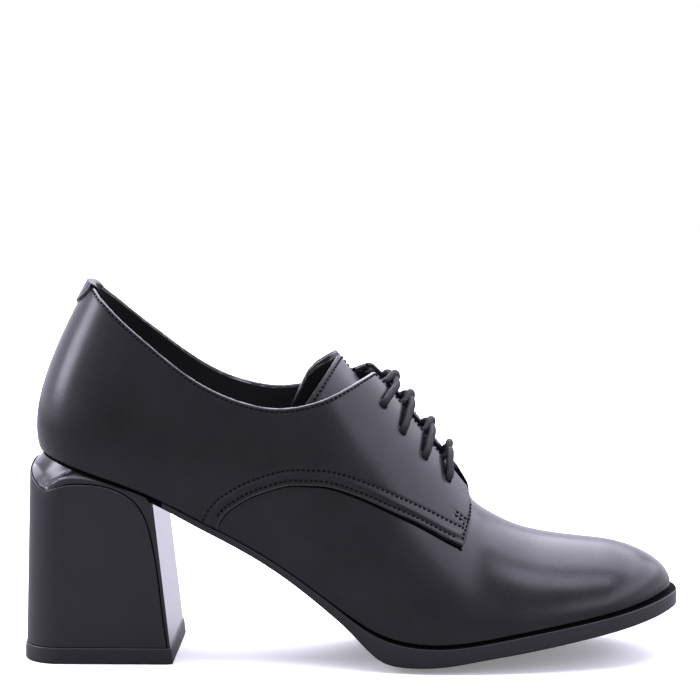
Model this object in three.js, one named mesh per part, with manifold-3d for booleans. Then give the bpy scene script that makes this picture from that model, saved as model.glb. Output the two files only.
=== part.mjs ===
// A woman's lace-up derby shoe for the right foot, in smooth leather, on a flared block heel.
// Lengths are millimetres. +X runs from heel to toe, +Y to the inner (medial) side, +Z up.
// The origin is on the floor under the middle of the shoe.

import * as THREE from "three";
import { mergeVertices } from "three/addons/utils/BufferGeometryUtils.js";
import Module from "manifold-3d";

const wasm = await Module();
wasm.setup();

// Driving dimensions

const SHOE_LENGTH = 241.6;
const BALL_WIDTH = 80;
const SEAT_HEIGHT = 76.5;
const INSTEP_HEIGHT = 104;
const HEEL_SETBACK = 5.5;
const TOE_MARGIN = 2.7;
const UPPER_WALL = 1.5;
const QUARTER_STEP = 0.8;
const FACING_LIFT = 4;
const MEDIAL_RISE = 1.2;
const THROAT_HALF_GAP = 7.5;
const EYELET_RADIUS = 1.8;
const TONGUE_THICKNESS = 1.8;
const TONGUE_SINK = 2.9;
const TAB_THICKNESS = 0.8;
const TAB_HALF_WIDTH = 9.5;
const TAB_DROP = 6.5;
const INSOLE_THICKNESS = 3;
const SOLE_CROWN = 2.6;
const SOLE_RIM_STEP = 1.3;
const FOREPART_MARGIN = 1.6;
const LACE_RADIUS = 1.4;
const TOP_LIFT_HEIGHT = 6;
const TOP_LIFT_MARGIN = 0.4;
const HEEL_LENGTH = 53;
const HEEL_HALF_WIDTH = 26;
const HEEL_CORNER = 14;
const HEEL_BACK_LEAN = 0.03;
const BREAST_FOOT = 55.5;
const BREAST_LEAN = 0.112;
const BREAST_BEVEL = 0.9;
const SEAT_INSET = 0.8;
const GAP = 0.3;

const LAST_LENGTH = SHOE_LENGTH - HEEL_SETBACK - TOE_MARGIN;

// Tables. "along" is a share of LAST_LENGTH from the back of the upper to its toe.

// The feather line, where the upper meets the sole: its height as a share of SEAT_HEIGHT,
// and its half widths as shares of BALL_WIDTH.
const FEATHER = table(
  ["along", "height", "lateral", "medial"],
  [
    [0.0, 1.0, 0.3, 0.3],
    [0.0435, 0.957, 0.306, 0.306],
    [0.0968, 0.905, 0.312, 0.31],
    [0.1824, 0.808, 0.318, 0.31],
    [0.2549, 0.7, 0.325, 0.3],
    [0.3304, 0.582, 0.342, 0.288],
    [0.4049, 0.444, 0.373, 0.293],
    [0.4664, 0.314, 0.412, 0.322],
    [0.5338, 0.187, 0.45, 0.387],
    [0.5973, 0.138, 0.474, 0.45],
    [0.6627, 0.141, 0.479, 0.49],
    [0.7372, 0.177, 0.461, 0.5],
    [0.8127, 0.217, 0.42, 0.48],
    [0.8852, 0.256, 0.36, 0.433],
    [0.9456, 0.294, 0.296, 0.37],
    [1, 0.331, 0.235, 0.305],
  ],
);

// The ridge of the last: its own place along the last, its height as a share of
// INSTEP_HEIGHT and its swing to the medial side as a share of BALL_WIDTH.
// Behind 0.5 it runs above the collar, where the shoe is open.
const RIDGE = table(
  ["along", "height", "side"],
  [
    [0.13, 1.555, 0.0],
    [0.18, 1.55, 0.0],
    [0.2449, 1.538, 0.0],
    [0.3355, 1.52, 0.003],
    [0.3959, 1.42, 0.006],
    [0.4362, 1.278, 0.01],
    [0.4714, 1.158, 0.014],
    [0.5238, 1.0, 0.018],
    [0.56, 0.904, 0.02],
    [0.5973, 0.795, 0.023],
    [0.6375, 0.678, 0.026],
    [0.6667, 0.594, 0.029],
    [0.6869, 0.541, 0.031],
    [0.713, 0.499, 0.033],
    [0.7584, 0.451, 0.036],
    [0.8087, 0.425, 0.037],
    [0.859, 0.411, 0.036],
    [0.9094, 0.402, 0.035],
  ],
);

// How each wall section climbs from the feather line to the ridge: where it meets the ridge,
// how far it swells outward as a share of BALL_WIDTH, how far up it stays upright, how wide
// its shoulder is, and how far the shoulder lies under the ridge, as shares of its height.
const WALL = table(
  ["along", "ridgeAlong", "swell", "rise", "shoulder", "drop"],
  [
    [0.0, 0.1355, 0.081, 0.24, 0.533, 0.352],
    [0.0737, 0.158, 0.078, 0.29, 0.66, 0.23],
    [0.1542, 0.2, 0.062, 0.36, 0.79, 0.1],
    [0.2449, 0.263, 0.05, 0.4, 0.86, 0.02],
    [0.3355, 0.3375, 0.045, 0.42, 0.88, 0.0],
    [0.4362, 0.4362, 0.035, 0.42, 0.84, 0.0],
    [0.5268, 0.5268, 0.02, 0.42, 0.74, 0.0],
    [0.6174, 0.6174, 0.01, 0.42, 0.6, 0.0],
    [0.6979, 0.6979, 0.012, 0.42, 0.52, 0.0],
    [0.7785, 0.7745, 0.014, 0.42, 0.5, 0.0],
    [0.859, 0.8349, 0.013, 0.42, 0.48, 0.0],
    [0.9295, 0.8711, 0.014, 0.45, 0.46, 0.01],
    [1, 0.8872, 0.024, 0.5, 0.41, 0.05],
  ],
);

// The sole: how far its underside lies below the feather line, in shares of SEAT_HEIGHT,
// how far its edge stands out past the upper, as a share of FOREPART_MARGIN, and how much
// of SOLE_CROWN its underside is rounded across.
const SOLE = table(
  ["along", "depth", "margin", "crown"],
  [
    [0.0, 0.029, -0.3, 0.0],
    [0.1844, 0.034, -0.3, 0.0],
    [0.2549, 0.039, 0.0, 0.1],
    [0.3355, 0.04, 0.05, 0.3],
    [0.406, 0.045, 0.1, 0.5],
    [0.4613, 0.056, 0.3, 0.7],
    [0.4986, 0.076, 0.6, 0.8],
    [0.5187, 0.101, 0.75, 0.85],
    [0.5399, 0.122, 0.85, 0.9],
    [0.5681, 0.12, 0.95, 1.0],
    [0.6023, 0.109, 1.0, 1.0],
    [0.6406, 0.1, 1.0, 1.0],
    [0.6904, 0.091, 1.0, 0.95],
    [0.7523, 0.093, 1.0, 0.9],
    [0.8641, 0.091, 1.1, 0.8],
    [1, 0.091, 1.69, 0.7],
  ],
);

// Side-view outlines: x is a share of SHOE_LENGTH from the back of the heel, z is a share of
// INSTEP_HEIGHT from the floor.

// The top edge of the quarters; the medial side is higher at its front corner by "medial".
const TOPLINE = rowsOf(
  ["x", "z", "medial"],
  [
    [-0.05, 1.36, 0],
    [0.06, 1.345, 0],
    [0.1, 1.325, 0],
    [0.12, 1.284, 0],
    [0.159, 1.201, 0],
    [0.198, 1.126, 0.002],
    [0.234, 1.058, 0.006],
    [0.27, 1.0, 0.01],
    [0.307, 0.956, 0.014],
    [0.343, 0.927, 0.019],
    [0.379, 0.911, 0.024],
    [0.415, 0.914, 0.028],
    [0.452, 0.934, 0.028],
    [0.475, 0.955, 0.026],
    [0.497, 0.979, 0.024],
    [0.515, 1.0, 0.023],
    [0.53, 1.016, 0.02],
    [0.55, 1.04, 0.015],
  ],
);

// The lower edge of the quarters, from the waist over its peak to the front corner.
const QUARTER_EDGE = rowsOf(
  ["x", "z"],
  [
    [0.284, 0.4],
    [0.298, 0.478],
    [0.313, 0.535],
    [0.334, 0.572],
    [0.357, 0.601],
    [0.402, 0.636],
    [0.437, 0.641],
    [0.471, 0.635],
    [0.516, 0.6],
    [0.561, 0.552],
    [0.6, 0.509],
    [0.643, 0.454],
    [0.6655, 0.429],
  ],
);

// The front edge of the facings, from that corner up.
const FACING_FRONT = rowsOf(
  ["x", "z"],
  [
    [0.672, 0.447],
    [0.6805, 0.505],
    [0.6825, 0.548],
    [0.6797, 0.587],
    [0.668, 0.637],
    [0.655, 0.69],
  ],
);

// The tongue's free edge runs from its tip down to the collar, and bows back on the medial
// side. Below the collar each side ends under the facing.
const TONGUE_FRONT = [
  [0.5, 0.62],
  [0.62, 0.44],
  [0.715, 0.36],
  [0.722, 0.6],
  [0.56, 1.2],
];
const TONGUE_LATERAL = rowsOf(
  ["x", "z"],
  [
    [0.492, 1.09],
    [0.482, 1.083],
    [0.476, 1.068],
    [0.36, 0.68],
    ...TONGUE_FRONT,
  ],
);
const TONGUE_MEDIAL = rowsOf(
  ["x", "z"],
  [
    [0.492, 1.09],
    [0.482, 1.083],
    [0.472, 1.075],
    [0.4574, 1.056],
    [0.442, 1.031],
    [0.428, 0.996],
    [0.415, 0.935],
    [0.36, 0.68],
    ...TONGUE_FRONT,
  ],
);

// The eyelets: how far from the back of the heel, as a share of SHOE_LENGTH, how far from
// the middle of the throat, as a share of BALL_WIDTH, and how much of STRAND's way ahead
// their laces take.
const EYELETS = rowsOf(
  ["along", "across", "ahead"],
  [
    [0.5477, 0.226, 0.8],
    [0.5768, 0.241, 0.4],
    [0.61, 0.233, 0.3],
    [0.6452, 0.209, -0.2],
  ],
);

// A lace strand from its own eyelet to the far side: how far ahead of the eyelet in
// LACE_RADIUS, where across the throat (1 at the eyelet, 0 in the middle), and how far its
// middle stands above the facing in LACE_RADIUS.
const STRAND = rowsOf(
  ["ahead", "across", "above"],
  [
    [0, 1, -0.9],
    [0, 0.995, 0.5],
    [0.5, 0.93, 1.6],
    [1.8, 0.68, 1.75],
    [2.7, 0.4, 1.8],
    [2.3, 0.04, 1.3],
    [1.2, -0.23, 0.2],
    [0.8, -0.28, -1.3],
  ],
);

// The heel's rear and side: places around its half perimeter, the height of the panel's
// upper edge as a share of SEAT_HEIGHT, and the matching place of the seat along the last.
const HEEL_SEAT = rowsOf(
  ["around", "edge", "seat"],
  [
    [0, 0.952, 0],
    [0.055, 0.949, 0.0012],
    [0.11, 0.941, 0.0045],
    [0.164, 0.928, 0.0095],
    [0.21, 0.91, 0.0155],
    [0.26, 0.885, 0.0256],
    [0.315, 0.856, 0.0386],
    [0.367, 0.829, 0.049],
    [0.4, 0.839, 0.056],
    [0.44, 0.851, 0.062],
    [0.484, 0.861, 0.07],
    [0.563, 0.864, 0.084],
    [0.642, 0.8575, 0.103],
    [0.711, 0.8405, 0.122],
    [0.781, 0.808, 0.143],
    [0.829, 0.77, 0.158],
    [0.864, 0.7215, 0.169],
    [0.894, 0.6495, 0.182],
  ],
);

// Further forward the panel's edge runs down beside the breast: its height, and the height
// of the point of the breast's corner that it matches.
const HEEL_BREAST = rowsOf(
  ["around", "edge", "corner"],
  [
    [0.917, 0.5635, 0.7],
    [0.945, 0.42, 0.5],
    [0.968, 0.265, 0.29],
  ],
);

// Table and curve helpers

function rowsOf(names, rows) {
  return rows.map((row) => Object.fromEntries(names.map((name, k) => [name, row[k]])));
}

function table(names, rows) {
  const made = {};
  const along = rows.map((row) => row[0]);
  names.slice(1).forEach((name, k) => {
    made[name] = spline(along, rows.map((row) => row[k + 1]));
  });
  return made;
}

// A natural cubic spline through the points, held level beyond its ends.
function spline(xs, ys) {
  const n = xs.length - 1;
  const step = xs.slice(1).map((x, i) => x - xs[i]);
  const slope = step.map((h, i) => (ys[i + 1] - ys[i]) / h);
  const bend = new Array(n + 1).fill(0);
  const carried = new Array(n + 1).fill(0);
  for (let i = 1; i < n; i++) {
    const pivot = 2 * (step[i - 1] + step[i]) - step[i - 1] * carried[i - 1];
    carried[i] = step[i] / pivot;
    bend[i] = (6 * (slope[i] - slope[i - 1]) - step[i - 1] * bend[i - 1]) / pivot;
  }
  for (let i = n - 1; i > 0; i--) bend[i] -= carried[i] * bend[i + 1];
  return (x) => {
    const held = Math.min(Math.max(x, xs[0]), xs[n]);
    let i = 0;
    while (i < n - 1 && held > xs[i + 1]) i++;
    const h = step[i];
    const a = (xs[i + 1] - held) / h;
    const b = (held - xs[i]) / h;
    const bends = (((a ** 3 - a) * bend[i] + (b ** 3 - b) * bend[i + 1]) * (h * h)) / 6;
    return a * ys[i] + b * ys[i + 1] + bends;
  };
}

const mix = (a, b, k) => a + (b - a) * k;
const clamp01 = (x) => Math.min(Math.max(x, 0), 1);
const smooth = (low, high, x) => {
  const k = clamp01((x - low) / (high - low));
  return k * k * (3 - 2 * k);
};

// Frame helpers

const fromHeelBack = (distance) => distance - SHOE_LENGTH / 2;
const placeAlong = (share) => fromHeelBack(HEEL_SETBACK + share * LAST_LENGTH);
const shareOf = (distance) => (distance - HEEL_SETBACK) / LAST_LENGTH;
const sideView = ({ x, z }) => new THREE.Vector2(fromHeelBack(x * SHOE_LENGTH), z * INSTEP_HEIGHT);
const curveThrough = (rows, count) => new THREE.SplineCurve(rows.map(sideView)).getPoints(count);

// The last

const HEEL_ROUND = 0.115;
const HEEL_ROUND_POWER = 2.15;
const TOE_ROUND = 0.11;
const TOE_ROUND_POWER = 2.35;
const TOE_SWING_START = 0.8;
const OFFSET_FADE = 0.55;
const STEEPEST = 1.9;
// The small share of the last over which slopes are measured.
const NUDGE = 0.003;

// How far the plan outline has opened at a station: 0 at the two tips, 1 along the sides.
function planRound(share) {
  const heel = 1 - clamp01(share / HEEL_ROUND);
  const toe = 1 - clamp01((1 - share) / TOE_ROUND);
  const open = (away, power) => Math.max(0, 1 - away ** power) ** (1 / power);
  return open(heel, HEEL_ROUND_POWER) * open(toe, TOE_ROUND_POWER);
}

// The feather point, the ridge point and the outward direction in plan of one wall section,
// and how much longer an offset across the sloping ridge is when it's measured upright.
function station(share, side) {
  const width = (side < 0 ? FEATHER.lateral(share) : FEATHER.medial(share)) * BALL_WIDTH;
  const toeTip = ((FEATHER.medial(1) - FEATHER.lateral(1)) / 2) * BALL_WIDTH;
  const middle = toeTip * smooth(TOE_SWING_START, 1, share);
  const feather = new THREE.Vector3(
    placeAlong(share),
    middle + (side * width - middle) * planRound(share),
    FEATHER.height(share) * SEAT_HEIGHT,
  );
  const at = WALL.ridgeAlong(share);
  const heightAt = (place) => RIDGE.height(place) * INSTEP_HEIGHT;
  const ridge = new THREE.Vector3(placeAlong(at), RIDGE.side(at) * BALL_WIDTH, heightAt(at));
  const slope = (heightAt(at + NUDGE) - heightAt(at - NUDGE)) / (2 * NUDGE * LAST_LENGTH);
  const outward = new THREE.Vector2(feather.x - ridge.x, feather.y - ridge.y).normalize();
  return { feather, ridge, outward, steep: Math.min(Math.hypot(1, slope), STEEPEST) };
}

// A point on the sloping bottom of the last, out from the feather line in plan.
function footPoint(share, side, out) {
  const { feather, outward } = station(share, side);
  const z = FEATHER.height(share + (outward.x * out) / LAST_LENGTH) * SEAT_HEIGHT;
  return new THREE.Vector3(feather.x + outward.x * out, feather.y + outward.y * out, z);
}

// A point of the last's surface, moved outward by offset and raised at the ridge by lift:
// climb runs from 0 at the feather line to 1 at the ridge.
function lastPoint(share, side, climb, offset = 0, lift = 0) {
  const { feather, ridge, outward, steep } = station(share, side);
  const height = ridge.z - feather.z;
  const swell = WALL.swell(share) * BALL_WIDTH;
  const shoulder = WALL.shoulder(share);
  const raised = offset * steep + lift;
  const fade = OFFSET_FADE * offset;
  const foot = footPoint(share, side, offset).toArray();
  const flank = [
    feather.x + outward.x * (swell + offset),
    feather.y + outward.y * (swell + offset),
    feather.z + WALL.rise(share) * height + fade,
  ];
  const shoulderPoint = [
    mix(ridge.x, feather.x, shoulder) + outward.x * fade,
    mix(ridge.y, feather.y, shoulder) + outward.y * fade,
    ridge.z - WALL.drop(share) * height + raised,
  ];
  const crest = [ridge.x, ridge.y, ridge.z + raised];
  const left = 1 - climb;
  const weights = [left ** 3, 3 * climb * left ** 2, 3 * climb ** 2 * left, climb ** 3];
  const point = [foot, flank, shoulderPoint, crest].reduce(
    (sum, control, k) => sum.map((value, axis) => value + weights[k] * control[axis]),
    [0, 0, 0],
  );
  return new THREE.Vector3(...point);
}

// Solids

const WELD = 1e-3;

// A closed solid from rings with the same number of points: the first and last ring are
// folded flat, where their two sides meet point by point, unless closeLast caps the last.
function loft(rings, closeFirst = false, closeLast = false) {
  const positions = [];
  const index = [];
  const count = rings[0].length;
  for (const ring of rings) for (const p of ring) positions.push(p.x, p.y, p.z);
  for (let i = 0; i + 1 < rings.length; i++) {
    for (let j = 0; j < count; j++) {
      const a = i * count + j;
      const b = i * count + ((j + 1) % count);
      index.push(a, b, b + count, a, b + count, a + count);
    }
  }
  const last = (rings.length - 1) * count;
  for (let j = 1; j + 1 < count; j++) {
    if (closeFirst) index.push(0, j + 1, j);
    if (closeLast) index.push(last, last + j, last + j + 1);
  }
  const geometry = new THREE.BufferGeometry();
  geometry.setAttribute("position", new THREE.Float32BufferAttribute(positions, 3));
  geometry.setIndex(index);
  return solidOf(geometry);
}

// Turns a three.js geometry into a manifold solid with outward faces.
function solidOf(geometry) {
  const bare = geometry.clone();
  bare.deleteAttribute("normal");
  bare.deleteAttribute("uv");
  const merged = mergeVertices(bare, WELD);
  const from = merged.index.array;
  const kept = [];
  for (let i = 0; i < from.length; i += 3) {
    const [a, b, c] = [from[i], from[i + 1], from[i + 2]];
    if (a !== b && b !== c && a !== c) kept.push(a, b, c);
  }
  const build = (triangles) => {
    const vertProperties = merged.attributes.position.array;
    const triVerts = new Uint32Array(triangles);
    return new wasm.Manifold(new wasm.Mesh({ numProp: 3, vertProperties, triVerts }));
  };
  const solid = build(kept);
  if (solid.volume() > 0) return solid;
  const turned = [];
  for (let i = 0; i < kept.length; i += 3) turned.push(kept[i], kept[i + 2], kept[i + 1]);
  return build(turned);
}

// The area inside a side-view outline, run through in Y from low to high.
function sidePrism(outline, low, high) {
  const shape = new THREE.Shape(outline);
  const geometry = new THREE.ExtrudeGeometry(shape, { depth: high - low, bevelEnabled: false });
  geometry.rotateX(Math.PI / 2);
  geometry.translate(0, high, 0);
  return solidOf(geometry);
}

const STATIONS = 42;
const WALL_STEPS = 10;
const FLOOR_STEPS = 4;

// Stations lie closer together near the heel and the toe, where the plan outline turns.
const shares = Array.from(
  { length: STATIONS + 1 },
  (_, i) => (1 - Math.cos((Math.PI * i) / STATIONS)) / 2,
);

// The last as a closed solid; with open above 0 it reaches down by that much, to cut a way out.
function lastSolid(offset, lift = () => 0, open = 0) {
  const offsetAt = typeof offset === "function" ? offset : () => offset;
  const rings = shares.map((share) => {
    const wall = (side) =>
      Array.from({ length: WALL_STEPS + 1 }, (_, k) =>
        lastPoint(share, side, k / WALL_STEPS, offsetAt(share), lift(share, side)),
      );
    const lateral = wall(-1);
    const medial = wall(1);
    const floor = [medial[0].clone(), lateral[0].clone()];
    for (const point of floor) point.z -= open;
    return [...lateral, ...medial.slice(0, -1).reverse(), ...(open > 0 ? floor : [])];
  });
  return loft(rings);
}

// How far the bottom of the shoe drops below its edges, across from 0 to 1.
const crownDrop = (share, across) => SOLE.crown(share) * SOLE_CROWN * (1 - (2 * across - 1) ** 2);

// Upper: vamp and quarters in one hollow wall, stepped where the quarters lie on the vamp

const OPEN_BELOW = 8;
const LIFT_STARTS = [0.3, 0.44];
const OUTER_LIFT_ENDS = [0.7, 0.76];
const INNER_LIFT_ENDS = [0.655, 0.7];

const liftedBy = (share, side, ends) => {
  const full = side > 0 ? FACING_LIFT + MEDIAL_RISE : FACING_LIFT;
  return full * smooth(...LIFT_STARTS, share) * (1 - smooth(...ends, share));
};
const facingLift = (share, side) => liftedBy(share, side, OUTER_LIFT_ENDS);
const innerLift = (share, side) => liftedBy(share, side, INNER_LIFT_ENDS);

const FAR_UP = 2 * INSTEP_HEIGHT;
const FAR_OUT = BALL_WIDTH;
const EDGE_STEPS = 24;
const FRONT_STEPS = 8;
const TOPLINE_STEPS = 38;

// The part of the last that the quarters cover.
function quarterPrism() {
  const lower = curveThrough(QUARTER_EDGE, EDGE_STEPS);
  const edge = [...lower, ...curveThrough(FACING_FRONT, FRONT_STEPS)];
  const front = edge[edge.length - 1];
  const outline = [
    new THREE.Vector2(-SHOE_LENGTH, -FAR_UP),
    new THREE.Vector2(edge[0].x, -FAR_UP),
    ...edge,
    new THREE.Vector2(front.x, FAR_UP),
    new THREE.Vector2(-SHOE_LENGTH, FAR_UP),
  ];
  return sidePrism(outline, -FAR_OUT, FAR_OUT);
}

// Everything above the topline, moved up by raise.
function aboveTopline(raise) {
  const half = (side) => {
    const rows = TOPLINE.map(({ x, z, medial }) => ({ x, z: side > 0 ? z + medial : z }));
    const line = curveThrough(rows, TOPLINE_STEPS);
    for (const point of line) point.y += raise;
    const front = new THREE.Vector2(line[line.length - 1].x, FAR_UP);
    const back = new THREE.Vector2(line[0].x, FAR_UP);
    return sidePrism([...line, front, back], side > 0 ? 0 : -FAR_OUT, side > 0 ? FAR_OUT : 0);
  };
  return half(-1).add(half(1));
}

// The gap between the two facings, seen from above: it widens round their top corners.
const THROAT_FRONT = 0.684;
const THROAT_CORNER = 0.553;
const THROAT_TOP = 0.49;
const CORNER_FLARE = 9;
const CORNER_STEPS = 5;

function throatSlot() {
  const corner = Array.from({ length: CORNER_STEPS + 1 }, (_, k) =>
    mix(THROAT_CORNER, THROAT_TOP, k / CORNER_STEPS),
  );
  const xs = [THROAT_FRONT, ...corner];
  const edge = (x, side) => {
    const past = clamp01((THROAT_CORNER - x) / (THROAT_CORNER - THROAT_TOP));
    const half = THROAT_HALF_GAP + CORNER_FLARE * past * past;
    const ridge = RIDGE.side(shareOf(x * SHOE_LENGTH)) * BALL_WIDTH;
    return new THREE.Vector2(fromHeelBack(x * SHOE_LENGTH), ridge + side * half);
  };
  const outline = [...xs.map((x) => edge(x, 1)), ...xs.reverse().map((x) => edge(x, -1))];
  const shape = new THREE.Shape(outline);
  return solidOf(new THREE.ExtrudeGeometry(shape, { depth: FAR_UP, bevelEnabled: false }));
}

const LOWEST_CLIMB = 0.3;
const HALVINGS = 30;

// The climb at which a quarter's surface is a given distance sideways from the ridge.
function climbAtDistance(share, side, distance) {
  const ridge = station(share, side).ridge.y;
  let low = LOWEST_CLIMB;
  let high = 1;
  for (let i = 0; i < HALVINGS; i++) {
    const middle = (low + high) / 2;
    const y = lastPoint(share, side, middle, QUARTER_STEP, facingLift(share, side)).y;
    if (Math.abs(y - ridge) > distance) low = middle;
    else high = middle;
  }
  return (low + high) / 2;
}

// A point on the outside of a quarter and the surface's outward normal there. A negative
// distance lies past the ridge, on the other quarter.
function quarterFrame(distanceAlong, side, distance) {
  const share = shareOf(distanceAlong);
  const at = distance < 0 ? -side : side;
  const climb = climbAtDistance(share, at, Math.abs(distance));
  const surface = (s, c) => lastPoint(s, at, c, QUARTER_STEP, facingLift(s, at));
  const ahead = surface(share + NUDGE, climb).sub(surface(share - NUDGE, climb));
  const up = surface(share, Math.min(climb + NUDGE, 1)).sub(surface(share, climb - NUDGE));
  const normal = ahead.cross(up).normalize();
  if (normal.z < 0) normal.negate();
  return { point: surface(share, climb), normal };
}

const PUNCH_LENGTH = 20;
const PUNCH_SIDES = 12;

function eyeletHole({ along, across }, side) {
  const { point, normal } = quarterFrame(along * SHOE_LENGTH, side, across * BALL_WIDTH);
  const geometry = new THREE.CylinderGeometry(EYELET_RADIUS, EYELET_RADIUS, PUNCH_LENGTH, PUNCH_SIDES);
  const upright = new THREE.Vector3(0, 1, 0);
  geometry.applyQuaternion(new THREE.Quaternion().setFromUnitVectors(upright, normal));
  geometry.translate(point.x, point.y, point.z);
  return solidOf(geometry);
}

function upperSolid() {
  const quarters = lastSolid(QUARTER_STEP, facingLift).intersect(quarterPrism());
  const inside = lastSolid(-UPPER_WALL, innerLift, OPEN_BELOW);
  const skin = lastSolid(0).add(quarters).subtract(inside);
  let upper = skin.subtract(aboveTopline(0)).subtract(throatSlot());
  for (const side of [-1, 1]) {
    for (const eyelet of EYELETS) upper = upper.subtract(eyeletHole(eyelet, side));
  }
  return upper;
}

// Tongue: under the facings, out past them at the top

const SUNK = [0.53, 0.6];

function tongueSolid() {
  const outside = (share) => -(UPPER_WALL + GAP) - TONGUE_SINK * (1 - smooth(...SUNK, share));
  const inside = (share) => outside(share) - TONGUE_THICKNESS;
  const sheet = lastSolid(outside).subtract(lastSolid(inside, () => 0, OPEN_BELOW));
  const lateral = sidePrism(TONGUE_LATERAL.map(sideView), -FAR_OUT, 0);
  const medial = sidePrism(TONGUE_MEDIAL.map(sideView), 0, FAR_OUT);
  return sheet.intersect(lateral.add(medial));
}

// Back tab: a small piece of leather folded over the back of the collar

const TAB_STEPS = 12;

function backTabSolid() {
  const wallOutside = QUARTER_STEP + GAP;
  const wallInside = -(UPPER_WALL + GAP);
  const shell = (outside, inside, raise) =>
    lastSolid(outside)
      .subtract(lastSolid(inside, () => 0, OPEN_BELOW))
      .subtract(aboveTopline(raise));
  const skin = shell(wallOutside + TAB_THICKNESS, wallInside - TAB_THICKNESS, GAP + TAB_THICKNESS);
  const folded = skin.subtract(shell(wallOutside, wallInside, GAP));
  const collarTop = sideView(TOPLINE[2]).y;
  const round = new THREE.EllipseCurve(0, collarTop, TAB_HALF_WIDTH, TAB_DROP, Math.PI, 2 * Math.PI);
  const shape = new THREE.Shape([
    ...round.getPoints(TAB_STEPS),
    new THREE.Vector2(TAB_HALF_WIDTH, FAR_UP),
    new THREE.Vector2(-TAB_HALF_WIDTH, FAR_UP),
  ]);
  const geometry = new THREE.ExtrudeGeometry(shape, { depth: SHOE_LENGTH, bevelEnabled: false });
  geometry.rotateX(Math.PI / 2);
  geometry.rotateZ(Math.PI / 2);
  geometry.translate(-SHOE_LENGTH, 0, 0);
  return folded.intersect(solidOf(geometry));
}

// Points across the bottom of the shoe between two edge points, both left out.
function acrossBottom(from, to, share) {
  return Array.from({ length: FLOOR_STEPS - 1 }, (_, k) => {
    const across = (k + 1) / FLOOR_STEPS;
    const point = from.clone().lerp(to, across);
    point.z -= crownDrop(share, across);
    return point;
  });
}

// Insole: the board that lines the bottom of the shoe, narrower on top to clear the walls

const INSOLE_TAPER = 1.2;

function insoleSolid() {
  const inset = -(UPPER_WALL + GAP);
  const rings = shares.map((share) => {
    const edge = (side, further, raise) => {
      const point = lastPoint(share, side, 0, inset - further);
      point.z += raise;
      return point;
    };
    const top = [edge(-1, INSOLE_TAPER, INSOLE_THICKNESS), edge(1, INSOLE_TAPER, INSOLE_THICKNESS)];
    const bottom = [edge(1, 0, 0), edge(-1, 0, 0)];
    return [
      top[0],
      ...acrossBottom(top[0], top[1], share),
      top[1],
      bottom[0],
      ...acrossBottom(bottom[0], bottom[1], share),
      bottom[1],
    ];
  });
  return loft(rings);
}

// Outsole: forepart with a stepped rim, thin waist, and a seat under the heel

const RIM_STARTS = [0.46, 0.54];
const RIM_INSET = 0.9;
const EDGE_BEVEL = 0.6;

const seatDepth = (share) => SOLE.depth(share) * SEAT_HEIGHT;

function soleRing(share) {
  const margin = SOLE.margin(share) * FOREPART_MARGIN;
  const step = SOLE_RIM_STEP * smooth(...RIM_STARTS, share);
  const shelf = Math.min(margin, 0) - RIM_INSET;
  const rim = (side) => {
    const at = (out, down) => {
      const point = footPoint(share, side, out);
      point.z -= down;
      return point;
    };
    return [
      at(shelf, GAP),
      at(shelf + GAP, GAP + step),
      at(margin, GAP + step),
      at(margin, seatDepth(share) - EDGE_BEVEL),
      at(margin - EDGE_BEVEL, seatDepth(share)),
    ];
  };
  const lateral = rim(-1);
  const medial = rim(1);
  return [
    ...lateral,
    ...acrossBottom(lateral[4], medial[4], share),
    ...medial.slice().reverse(),
    ...acrossBottom(medial[0], lateral[0], share),
  ];
}

function outsoleSolid() {
  const floor = [
    new THREE.Vector2(-SHOE_LENGTH, 0),
    new THREE.Vector2(SHOE_LENGTH, 0),
    new THREE.Vector2(SHOE_LENGTH, -FAR_UP),
    new THREE.Vector2(-SHOE_LENGTH, -FAR_UP),
  ];
  return loft(shares.map(soleRing)).subtract(sidePrism(floor, -FAR_OUT, FAR_OUT));
}

// Heel: a block with rounded rear corners whose panels end in an arch below the seat

// A point of the block's side at a height, around from 0 at the middle of its back to 1 at
// the panel's front edge, moved outward by grow.
function heelPoint(around, side, z, grow = 0) {
  const half = HEEL_HALF_WIDTH + grow;
  const radius = HEEL_CORNER + grow;
  const back = HEEL_BACK_LEAN * z + TOP_LIFT_MARGIN - grow;
  const flat = HEEL_HALF_WIDTH - HEEL_CORNER;
  const arc = (HEEL_CORNER * Math.PI) / 2;
  const way = around * (flat + arc + HEEL_LENGTH - HEEL_CORNER);
  const turn = clamp01((way - flat) / arc) * (Math.PI / 2);
  const straight = Math.max(way - flat - arc, 0);
  const x = back + radius * (1 - Math.cos(turn)) + straight;
  const y = way < flat ? way : flat + radius * Math.sin(turn);
  return new THREE.Vector3(fromHeelBack(x), side * Math.min(y, half), z);
}

// The corner between the breast and the bevel beside it.
const breastCorner = (side, z, grow = 0) =>
  new THREE.Vector3(
    fromHeelBack(BREAST_FOOT - BREAST_LEAN * z + grow),
    side * (HEEL_HALF_WIDTH - BREAST_BEVEL + grow),
    z,
  );

// Where the block meets the outsole's seat.
function seatPoint(share, side) {
  const point = footPoint(share, side, -SEAT_INSET);
  point.z -= seatDepth(share) + GAP;
  return point;
}

const BLOCK_FOOT = TOP_LIFT_HEIGHT + GAP;
const CUP_STEPS = 3;
const CUP_SAG = 0.12;
// The cup flattens out between these two places round the heel.
const CUP_ENDS = [0.9, 0.4];

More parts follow.
